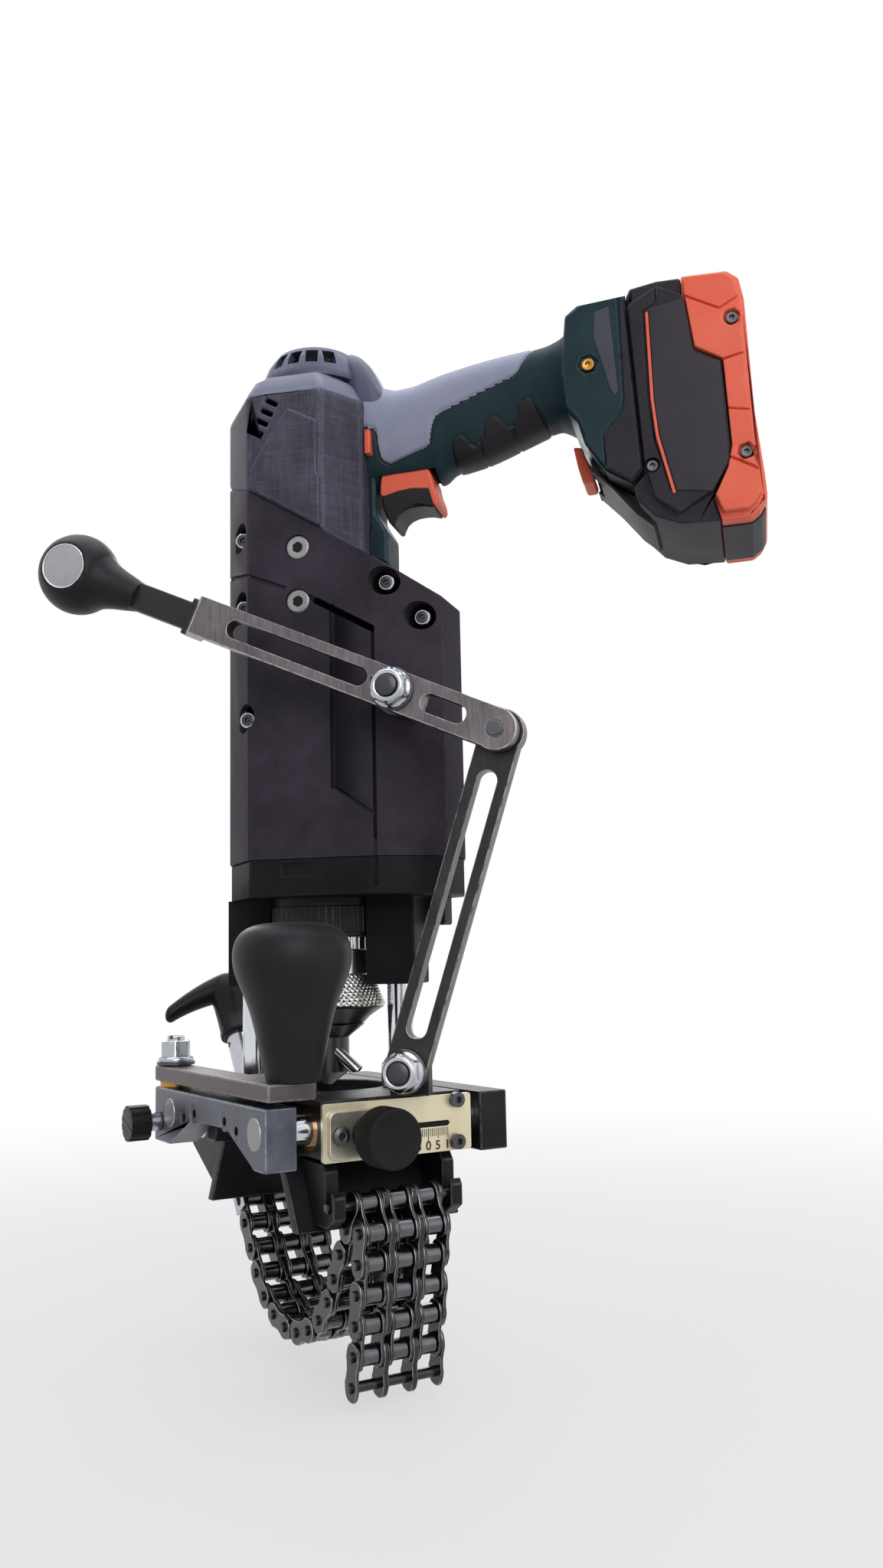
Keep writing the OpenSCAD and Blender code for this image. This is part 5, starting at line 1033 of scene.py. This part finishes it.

# %% [markdown]
# Socket screws: a turned head with a chamfer and a hexagon recess, made once with a head radius of 1 mm and
# put on its seats by the tree. On the casing's front two of them are flush and grey, with painted shade in
# the hexagon; the others sit bright at the bottom of wells that are cut into the corners, each well lined
# with a dark cup of painted shade and each socket holding a dark plug of painted shade. The casing's grooves
# get painted shade on their bottoms and sides.

# %% Casing wells and screws
HEAD = [(-0.6, 0.2), (-0.6, 0.98), (0.3, 1.0), (0.44, 0.97), (0.52, 0.86), (0.53, 0.62), (0.5, 0.52),
        (0.5, 0.46), (0.42, 0.6, 0.8), (-0.1, 0.6, 0.78), (-0.15, 0.2)]
HEX_SHADE = [(-0.2, 0.6, 0.74), (0.4, 0.6, 0.74), (0.4, 0.05)]
CUP_SHADE = [(0.2, 0.76), (0.54, 0.76), (0.56, 0.72), (0.56, 0.36), (0.3, 0.3), (0.3, 0.16), (0.5, 0.14),
             (0.5, 0.02)]
head_mesh, hex_shade, cup_shade = (
    lathe("socket_head", levels, Vector(), UP, X_WAY, [zinc], steps=48, sharp=30)
    for levels in (HEAD, HEX_SHADE, CUP_SHADE))
SUNK_R, FLUSH_R, PACK_SCREW_R, INSERT_R = 3.9, 5.7, 2.7, 2.9
TO_FRONT, TO_REAR = (tuple(way.to_track_quat("Z", "Y").to_euler()) for way in (FRONT, -FRONT))
FLAT_SCREWS = [(1.8, 310), (1.8, 284)]
WELLS = [(43, 291, -31), (57.6, 275.5, -22), (-31.5, 321, -22.5), (-31, 287, -22.5), (-26.5, 231, -29)]
WELL_R, FLAT_SEAT_R = 6.8, 5.95
CASING_FRONT, FLAT_SEAT, OUTSIDE, WELL_OUTSIDE = -42, -40.6, -50, -70
GROOVE_SHADE = (-41.7, -37)
GROOVES = [([(10.7, 283.6), (37.4, 268.3)], 3.1, 3.2), ([(18.3, 278.5), (18.3, 197)], 3.4, 3.0),
           ([(38, 267), (38, 172)], 1.6, 2.2)]
cutters = [prism(ring_of(u, z, WELL_R), WELL_OUTSIDE, bottom) for u, z, bottom in WELLS]
cutters += [prism(ring_of(u, z, FLAT_SEAT_R), OUTSIDE, FLAT_SEAT) for u, z in FLAT_SCREWS]
cutters += [prism(ribbon(path, wide), OUTSIDE, CASING_FRONT + deep) for path, wide, deep in GROOVES]
SOLID_GROOVES = [[(-52, 310), (-5, 291)], [(8, 285.5), (37, 269)], [(18.5, 280), (18.5, 196)],
                 [(18.5, 196), (37.5, 183)]]


def on_cut(point):
    """True beside a groove or a well, where a bevel would run into its neighbours."""
    u, v, z = (c / MM for c in (*along_drive(point.x, point.y), point.z))
    paths = SOLID_GROOVES + [path for path, _, _ in GROOVES]
    near_groove = min(distance_to(path, u, z) for path in paths) < 3
    near_well = any(math.hypot(u - spot[0], z - spot[1]) < WELL_R + 1 for spot in WELLS + FLAT_SCREWS)
    return v < 0 and (near_groove or near_well)


casing = moulded("casing_front", cut(merged("front_casing"), cutters), 0.8, casing_black, "carriage",
                 ["front_casing"], skip=on_cut)
GROOVE_LINES = [ribbon(path, wide + 0.3) for path, wide, _ in GROOVES]


def in_groove(x, y, z):
    """True on the bottom and the sides of a groove, for a point in mm."""
    u, v = along_drive(x, y)
    return GROOVE_SHADE[0] < v < GROOVE_SHADE[1] and any(inside(line, u, z) for line in GROOVE_LINES)


# The bottoms and sides of the grooves get painted shade
restyle(casing, painted_recess_shade, in_groove)
# Each well is lined with a dark cup of painted shade, pressed just under the casing's skin
WELL_SHADE = [(6, WELL_R + 1.2), (6, WELL_R + 0.02), (0.05, WELL_R + 0.02), (0.05, 0.5), (-0.8, 0.5),
       (-0.8, WELL_R + 1.2)]
shade_cups = [grid_mesh("cup", turned_points(WELL_SHADE, drive(u, bottom, z), FRONT, ALONG, 48), ends=False)
        for u, z, bottom in WELLS]
solid_casing = frame["nodes"]["front_casing"].data
casing_skin = BVHTree.FromPolygons([v.co for v in solid_casing.vertices],
                                   [f.vertices for f in solid_casing.polygons])
for cup in shade_cups:
    cup.materials.append(painted_recess_shade)
    for vert in cup.vertices:
        reach = vert.co.dot(FRONT)
        hit = casing_skin.ray_cast(vert.co + FRONT * (0.1 - reach), -FRONT)[0]
        vert.co += FRONT * min(0, (hit.dot(FRONT) if hit else 0.015) - 0.0004 - reach)
put("well_cups", together("well_cups", *shade_cups), "carriage")
sunk_at = [drive(u, bottom - 2.6, z) for u, z, bottom in WELLS]
flush_at = [drive(u, FLAT_SEAT + 1, z) for u, z in FLAT_SCREWS]
# The dark plugs in the sunk screws' sockets and the flush screws' hexagons are painted shade
screws = [repeated("sunk", piece, sunk_at, [TO_FRONT] * len(WELLS), material, size=SUNK_R)
          for piece, material in ((head_mesh, zinc), (cup_shade, tool_steel))]
screws += [repeated("flush", piece, flush_at, [TO_FRONT] * 2, material, [(1, 1, 0.7)] * 2, FLUSH_R)
           for piece, material in ((head_mesh, screw_grey), (hex_shade, painted_recess_shade))]
put("casing_socket_screws", together("casing_socket_screws", *screws), "carriage",
    ["casing_screws"])
pack_places = [drive(u, side * (BUMPER_HALF - 2.4), z) for u, z in BUMPER_SCREWS for side in SIDES]
pack_places += [drive(SIDE_SCREW[0], side * (PACK_HALF - 2.2), SIDE_SCREW[1]) for side in SIDES]
pack_turns = [TO_FRONT if side < 0 else TO_REAR for _ in range(3) for side in SIDES]
put("pack_screws", repeated("pack_screws", head_mesh, pack_places, pack_turns, phosphate, size=PACK_SCREW_R),
    "battery")
insert_places = [drive(BOSS_AT[0], side * (FOOT_HALF - 1.5), BOSS_AT[1]) for side in SIDES]
inserts = repeated("foot_inserts", head_mesh, insert_places, [TO_FRONT, TO_REAR], bronze, size=INSERT_R)
put("foot_inserts", inserts, "carriage")
print("screws", len(WELLS) + len(FLAT_SCREWS) + len(pack_places))

# %% [markdown]
# A three-row roller chain: inner links carry the rollers between two plates a row, outer links carry the
# pins, and thicker plates stand between the rows. Plates are waisted like an eight. The links follow the
# same path as the solids: from the hook straight to the bend, round it, and up to the tightener; the tail
# hangs free from the hook.

# %% Chain
PITCH, STRAND, PLATE, MIDDLE, INNER_HALF, PIN_HALF, HOOK_HALF = 12.7, 13.92, 1.5, 2.7, 3.9, 22.42, 33.0
ROLLER_R, PIN_R, PLATE_HALF, WRAP_R, WRAP_LINKS, TAIL_LINKS = 4.25, 2.22, 5.7, 48.4, 14, 5
LEAN, TAIL_BEND, TAIL_LEAN = (math.radians(a) for a in (33.5, 30, 8))
HOOK_AT = Vector((-64, 16))
PLATE_SQUARE, WAIST_DEPTH, WAIST_HALF = 2.9, 0.24, 5.2
hook_far = HOOK_AT.length
touch = math.atan2(HOOK_AT.y, HOOK_AT.x) + math.acos(WRAP_R / hook_far)
straight = math.sqrt(hook_far ** 2 - WRAP_R ** 2)
leave = 2 * math.pi - LEAN


def wrapped(angle):
    return Vector((math.cos(angle), math.sin(angle))) * WRAP_R


def chain_at(run):
    if run < straight:
        return HOOK_AT.lerp(wrapped(touch), run / straight)
    angle = touch + (run - straight) / WRAP_R
    if angle < leave:
        return wrapped(angle)
    return wrapped(leave) + Vector((math.sin(LEAN), math.cos(LEAN))) * (angle - leave) * WRAP_R


wave = np.linspace(0, 2 * math.pi, 44, endpoint=False)
long_way = squared(np.cos(wave), PLATE_SQUARE) * (PITCH / 2 + PLATE_HALF)
high_way = squared(np.sin(wave), PLATE_SQUARE) * PLATE_HALF
high_way *= 1 - WAIST_DEPTH * np.clip(1 - (long_way / WAIST_HALF) ** 2, 0, 1)
plate_line = list(zip(long_way.tolist(), high_way.tolist()))


def across_chain(a, b, level):
    return Vector((level, a, b)) * MM


def plates(name, rows_of):
    """Plates at (x, thickness) in mm, standing in the plane of the chain."""
    blocks = joined(*[prism(plate_line, x - t / 2, x + t / 2, across_chain) for x, t in rows_of])
    return round_edges(name, blocks, 0.4)


def rods(name, spots):
    """Round bars along x at (x, y, half length, radius) in mm, with rounded ends."""
    made = []
    for x, y, reach, radius in spots:
        levels = [(-reach, 0.3), (-reach, radius - 0.5), (-reach + 0.5, radius), (reach - 0.5, radius),
                  (reach, radius - 0.5), (reach, 0.3)]
        made.append(grid_mesh("rod", turned_points(levels, Vector((x, y, 0)) * MM, X_WAY, Y_WAY, 28)))
    return crisp(together(name, *made), [], sharp=40)


strand_at = [-STRAND, 0, STRAND]
inner_rows = [(x + s * (INNER_HALF + PLATE / 2), PLATE) for x in strand_at for s in SIDES]
inner_plates = plates("inner_plates", inner_rows)
outer_plates = plates("outer_plates", [(s * (STRAND + INNER_HALF + 1.5 * PLATE + 0.2), PLATE) for s in SIDES]
                      + [(s * STRAND / 2, MIDDLE) for s in SIDES])
rollers = rods("rollers", [(x, s * PITCH / 2, INNER_HALF - 0.1, ROLLER_R) for x in strand_at for s in SIDES])
pins = rods("pins", [(0, s * PITCH / 2, PIN_HALF, PIN_R) for s in SIDES])
long_pin = rods("long_pin", [(0, 0, HOOK_HALF, PIN_R)])
tail_top = HOOK_AT + Vector((-math.sin(TAIL_BEND), -math.cos(TAIL_BEND))) * PITCH
TAIL_WAY = Vector((math.sin(TAIL_LEAN), -math.cos(TAIL_LEAN)))


def links(name, spans, body, nodes, extra=()):
    """A run of links between pairs of pins (y, z) in mm; each span says whether it is an inner link."""
    made = list(extra)
    for inner in (True, False):
        chosen = [(a, b) for a, b, is_inner in spans if is_inner == inner]
        if not chosen:
            continue
        places = [Vector((0, *((a + b) / 2))) * MM for a, b in chosen]
        turns = [(math.atan2((b - a).y, (b - a).x), 0, 0) for a, b in chosen]
        made.append(repeated("plates", inner_plates if inner else outer_plates, places, turns, chain_steel))
        made.append(repeated("bars", rollers if inner else pins, places, turns,
                             roller_steel if inner else chain_steel))
    return put(name, together(name, *made), body, nodes)


wrap_pins = [chain_at(i * PITCH) for i in range(WRAP_LINKS + 1)]
spans = [(a, b, i % 2 == 1) for i, (a, b) in enumerate(zip(wrap_pins[:-1], wrap_pins[1:]))]
spans.append((HOOK_AT, tail_top, True))
hook_pin = repeated("hook_pin", long_pin, [Vector((0, *HOOK_AT)) * MM], [(0, 0, 0)], chain_steel)
links("wrap_links", spans, "saddle", ["chain_wrap"], [hook_pin])
for i in range(1, TAIL_LINKS + 1):
    start = tail_top + TAIL_WAY * PITCH * (i - 1)
    links(f"tail_links_{i}", [(start, start + TAIL_WAY * PITCH, i % 2 == 0)], f"tail_{i}", [f"tail_link_{i}"])
print("chain", len(spans) + TAIL_LINKS, "links")

# %% [markdown]
# The chuck is turned from bar, nickel plated and diamond knurled. A knurl is two sets of helical grooves
# that cross, so the radius of a fine grid follows the smaller of two triangle waves. Bump alone would leave
# a smooth outline.

# %% Knurled chuck
CHUCK = [(92, 8.5), (92, 20), (96, 26.5), (96.3, 27.6), (97, 28)]
CHUCK += [(z, 28 - (z - 97) * 6 / 14) for z in np.linspace(97.4, 110.6, 48)]
CHUCK += [(111.2, 21.8), (111.6, 21.1), (112, 21), (122.3, 21), (122.8, 20.6), (122.8, 8.5)]
TEETH, CHUCK_STEPS = 58, 464
KNURL_LOW, KNURL_HIGH, KNURL_LEAD, KNURL_DEPTH = 97.3, 110.8, 2.6, 0.024
chuck_points = turned_points(CHUCK, Vector(), UP, X_WAY, CHUCK_STEPS)
angle = np.linspace(0, TEETH, CHUCK_STEPS, endpoint=False)[None]
height = np.array([z for z, _ in CHUCK])[:, None]
crossing = [np.abs(((angle + way * height / KNURL_LEAD) % 1) * 2 - 1) for way in SIDES]
tooth = np.minimum(*crossing) - 0.5
knurled = ((height > KNURL_LOW) & (height < KNURL_HIGH)).astype(float)
grow = 1 + KNURL_DEPTH * tooth * knurled
chuck_points[..., :2] *= grow[..., None]
NOSE = [(88.3, 8.6), (88.3, 17.4), (88.8, 18.2), (91.4, 20.6), (95.2, 26.2), (95.8, 27.2), (96.1, 27.4),
        (96.1, 24), (92.6, 8.6)]
turned("chuck_nose", NOSE, Vector(), UP, X_WAY, [tool_steel], "spindle", "nickel", steps=96)
put("chuck_knurled", crisp(grid_mesh("chuck_knurled", chuck_points, ends=False), [nickel], sharp=30),
    "spindle", ["chuck_sleeve"])
print("chuck", len(CHUCK) * CHUCK_STEPS, "points")

# %% [markdown]
# The tightener's T handle is a bent, tapering bar of hard plastic on a hub. Each arm is a loft of ellipses
# along an arc that droops to the ends, and the hub is turned. The solid under it has the same span and
# droop.

# %% T handle
TOP_RUN, TEE_TURN, TEE_HALF, DROOP = 161.5, math.radians(22), 36.0, 10.0
pull = Vector((0, math.sin(LEAN), math.cos(LEAN)))
tilted = Vector((0, math.cos(LEAN), -math.sin(LEAN)))
span_way = X_WAY * math.cos(TEE_TURN) - tilted * math.sin(TEE_TURN)
deep_way = X_WAY * math.sin(TEE_TURN) + tilted * math.cos(TEE_TURN)
leave_at = wrapped(leave)
tee_top = (Vector((0, leave_at.x, leave_at.y)) + pull * TOP_RUN) * MM
share = np.sin(np.linspace(-math.pi / 2, math.pi / 2, 72))
far_out = np.abs(share)
close = np.sqrt(np.clip(1 - np.clip((far_out - 0.9) / 0.1, 0, 0.998) ** 2, 0, 1))
# Half height and half depth taper to the ends, which close round
tall, deep = (4.2 + 4.2 * (1 - far_out) ** 1.3) * close, (4.4 + 3.4 * (1 - far_out)) * close
drop = -4.6 - DROOP * far_out ** 1.8
ring_turn = np.linspace(0, 2 * math.pi, 48, endpoint=False)
arm = (share * TEE_HALF)[:, None, None] * np.array(span_way)
arm = arm + (deep[:, None] * np.cos(ring_turn))[..., None] * np.array(deep_way)
arm = arm + (drop[:, None] + tall[:, None] * np.sin(ring_turn))[..., None] * np.array(pull)
tee_arm = crisp(grid_mesh("tee_arm", arm * MM + np.array(tee_top)), [knob_black], sharp=60)
HUB = [(-36, 6.6), (-36, 8.6), (-35.4, 9.3), (-33.2, 9.4), (-32.6, 9.0), (-24, 9.0), (-16, 9.3), (-10, 9.9),
       (-4, 9.6), (-1, 8), (0, 5)]
hub = lathe("tee_hub", HUB, tee_top, pull, span_way, [knob_black], steps=64, sharp=40)
put("tee_grip", together("tee_grip", tee_arm, hub), "tee", ["tee_handle"])
print("tee top at", [round(c, 4) for c in tee_top])

# %% [markdown]
# The scale is a satin plate with a milled slot, filled engraving and plain numbers from the zero line.
# Lines are the tree's row of one small block with a length for each. A stop with rounded corners slides in
# the slot, and a ribbed knob clamps it.

# %% Scale, stop and knob
PLATE_FRONT, ZERO_AT, SLOT_Z, FIGURES_Z = -65.5, 16.4, 46.0, 35.2


def upright(a, b, level):
    return Vector((a, level, b)) * MM


CORNER_STEPS = 6


def rounded_box(low, high, radius):
    """Outline of a box between two corners, each corner an arc."""
    left, right, under, over = low[0] + radius, high[0] - radius, low[1] + radius, high[1] - radius
    corners = [(right, over, 0), (left, over, 1), (left, under, 2), (right, under, 3)]
    turns = [(a, b, (q + k / CORNER_STEPS) * math.pi / 2) for a, b, q in corners
             for k in range(CORNER_STEPS + 1)]
    return [(a + radius * math.cos(turn), b + radius * math.sin(turn)) for a, b, turn in turns]


plate_low, plate_high = (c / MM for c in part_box("scale_plate"))
plate = prism(rounded_box((plate_low.x, plate_low.z), (plate_high.x, plate_high.z), 1.2), PLATE_FRONT,
              PLATE_FRONT + 2, upright)
slots = [ribbon([(-4, SLOT_Z), (26.4, SLOT_Z)], 2.4), ribbon([(-24.4, 45.4), (-6, 45.4)], 4.9)]
plate = cut(plate, [prism(line, PLATE_FRONT - 3, PLATE_FRONT + 5, upright) for line in slots])
moulded("scale_satin", plate, 0.3, plate_satin, "table", ["scale_plate"])
behind_slot = rounded_box((-8, SLOT_Z - 3), (29, SLOT_Z + 3), 1)
moulded("slot_shade", prism(behind_slot, PLATE_FRONT + 1.2, PLATE_FRONT + 1.9, upright), 0.1, painted_recess_shade,
        "table")
line_block = bpy.data.meshes.new("line_block")
unit = prism([(-0.5, -1), (0.5, -1), (0.5, 0), (-0.5, 0)], -0.5, 0.5, upright)
unit.to_mesh(line_block)
unit.free()
ZERO_LONG, FIFTH_LONG, LINE_LONG = 5.8, 4.4, 3.4
ZERO_WIDE, LINE_WIDE, LINE_DEEP = 0.42, 0.36, 0.12
marks = range(-10, 11)
reach_of = [ZERO_LONG if k == 0 else FIFTH_LONG if k % 5 == 0 else LINE_LONG for k in marks]
line_places = [Vector((ZERO_AT + k, PLATE_FRONT - 0.01, SLOT_Z - 1.7)) * MM for k in marks]
engraved = [repeated("lines", line_block, line_places, [(0, 0, 0)] * len(reach_of), ink,
                     scales=[(LINE_WIDE if k else ZERO_WIDE, LINE_DEEP, r) for k, r in zip(marks, reach_of)])]
FIGURES = [("10", 5.2), ("5", 11.6), ("0", 16.4), ("5", 21.2), ("10", 27.4)]
FIGURE_HIGH, FIGURE_DEEP, FIGURE_BOLD = 5.4, 0.06, 0.12
for figure, x in FIGURES:
    curve = bpy.data.curves.new("figure", "FONT")
    curve.body, curve.align_x = figure, "CENTER"
    curve.size, curve.extrude, curve.offset = FIGURE_HIGH * MM, FIGURE_DEEP * MM, FIGURE_BOLD * MM
    obj = bpy.data.objects.new("figure", curve)
    scene.collection.objects.link(obj)
    bpy.context.view_layer.update()
    mesh = bpy.data.meshes.new_from_object(obj.evaluated_get(bpy.context.evaluated_depsgraph_get()))
    place = Matrix.Translation(Vector((x, PLATE_FRONT - 0.01, FIGURES_Z)) * MM)
    mesh.transform(place @ Matrix.Rotation(math.pi / 2, 4, "X"))
    mesh.materials.clear()
    mesh.materials.append(ink)
    engraved.append(mesh)
    bpy.data.objects.remove(obj)
put("scale_engraving", together("scale_engraving", *engraved), "table")
stop_low, stop_high = (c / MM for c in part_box("stop_plate"))
STOP_FACE, STOP_SCREW_X, KNOB_X, KNOB_Z = -68.0, -27.5, -15, 45.2
stop = prism(rounded_box((stop_low.x, stop_low.z), (stop_high.x, stop_high.z), 3.2), STOP_FACE,
             STOP_FACE + 2.4, upright)
moulded("stop_satin", stop, 0.5, stop_satin, "stop", ["stop_plate"])
BUTTON = [(0, 0.4), (0, 4.1), (0.5, 4.2), (1.5, 3.7), (2.1, 2.7), (2.3, 1.9), (2.2, 1.75), (2.1, 1.7, 2.9),
          (0.9, 1.7, 2.8), (0.9, 0.3)]
turned("stop_screw", BUTTON, Vector((STOP_SCREW_X, STOP_FACE, KNOB_Z)) * MM, -Y_WAY, X_WAY, [phosphate],
       "stop", "screw_steel", sharp=30)
KNOB = [(0.2, 2), (0.2, 7.2), (1, 7.5), (6, 7.3), (9.5, 7.6), (10.8, 8.8), (11.2, 11.2), (11.5, 11.9),
        (12.3, 12.5), (24.2, 12.5), (25.0, 12.1), (25.3, 11.4), (25.1, 10.4), (24.7, 8), (24.4, 4),
        (24.3, 0.4)]
KNOB_STEPS, KNOB_RIBS, RIB_DEPTH = 288, 72, 0.016
points = turned_points(KNOB, Vector((KNOB_X, STOP_FACE, KNOB_Z)) * MM, -Y_WAY, X_WAY, KNOB_STEPS)
ribs = 1 - RIB_DEPTH * (1 + np.cos(KNOB_RIBS * np.linspace(0, 2 * math.pi, KNOB_STEPS, endpoint=False)))
ribbed = np.array([12.2 < a < 24.3 for a, _ in KNOB])[:, None, None]
centre = np.array([KNOB_X * MM, 0, KNOB_Z * MM])
points = np.where(ribbed & np.array([True, False, True]), centre + (points - centre) * ribs[None, :, None],
                  points)
put("stop_knob_ribbed", crisp(grid_mesh("stop_knob_ribbed", points), [knob_matt], sharp=30), "stop_turn",
    ["stop_knob"])
print("scale from", round(plate_low.x, 2), "to", round(plate_high.x, 2))

# %% [markdown]
# The lever's grip end is coloured near black from the bend outwards as painted shade, while the slotted bar
# keeps its brushed steel. The knob that locks the table sits on a bright stem. Both only need a second
# finish on some faces.

# %% Painted shade on the arm, and bright stem
def lever_run(x, y, z):
    """Distance in mm along the lever from its stud, for a point in mm."""
    u, _ = along_drive(x, y)
    return (z - STUD_Z) * math.sin(LEVER_TILT) - (u - STUD_U) * math.cos(LEVER_TILT)


SHADE_FROM, STEM_REACH, END_FACE = 104, 4, 0.1
# Beyond the bend the lever's faces get painted shade
restyle(skins["feed_lever"], arm_painted_shade, lambda x, y, z: lever_run(x, y, z) > SHADE_FROM)
stem_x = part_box("left_end_bar")[0].x / MM
restyle(skins["lock_knob"], zinc, lambda x, y, z: x > stem_x - STEM_REACH)
rod_low, rod_high = (corner.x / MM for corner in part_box("cross_rods"))
restyle(skins["cross_rods"], cut_end, lambda x, y, z: x < rod_low + END_FACE or x > rod_high - END_FACE)
print("second finishes set")

# %% [markdown]
# What is left are turned and drawn pieces that the solids already show as they are: rods, columns, bushes
# and the works inside. They only need their finish.

# %% Finishes of the solids that stay
PLAIN = {
    "base_screws": phosphate, "tension_rod": zinc, "sway_bush": bronze, "guide_columns": chrome,
    "slide_bushes": bronze, "table_screws": phosphate, "drive_pin": chrome, "column_sleeves": bronze,
    "motor_stator": winding, "collaring_head": tool_steel, "motor_rotor": aluminium,
    "forming_pin_a": pin_steel, "forming_pin_b": pin_steel,
}
for node, material in PLAIN.items():
    mesh = frame["nodes"][node].data
    mesh.materials.clear()
    mesh.materials.append(material)
print("finished", len(PLAIN), "solids")
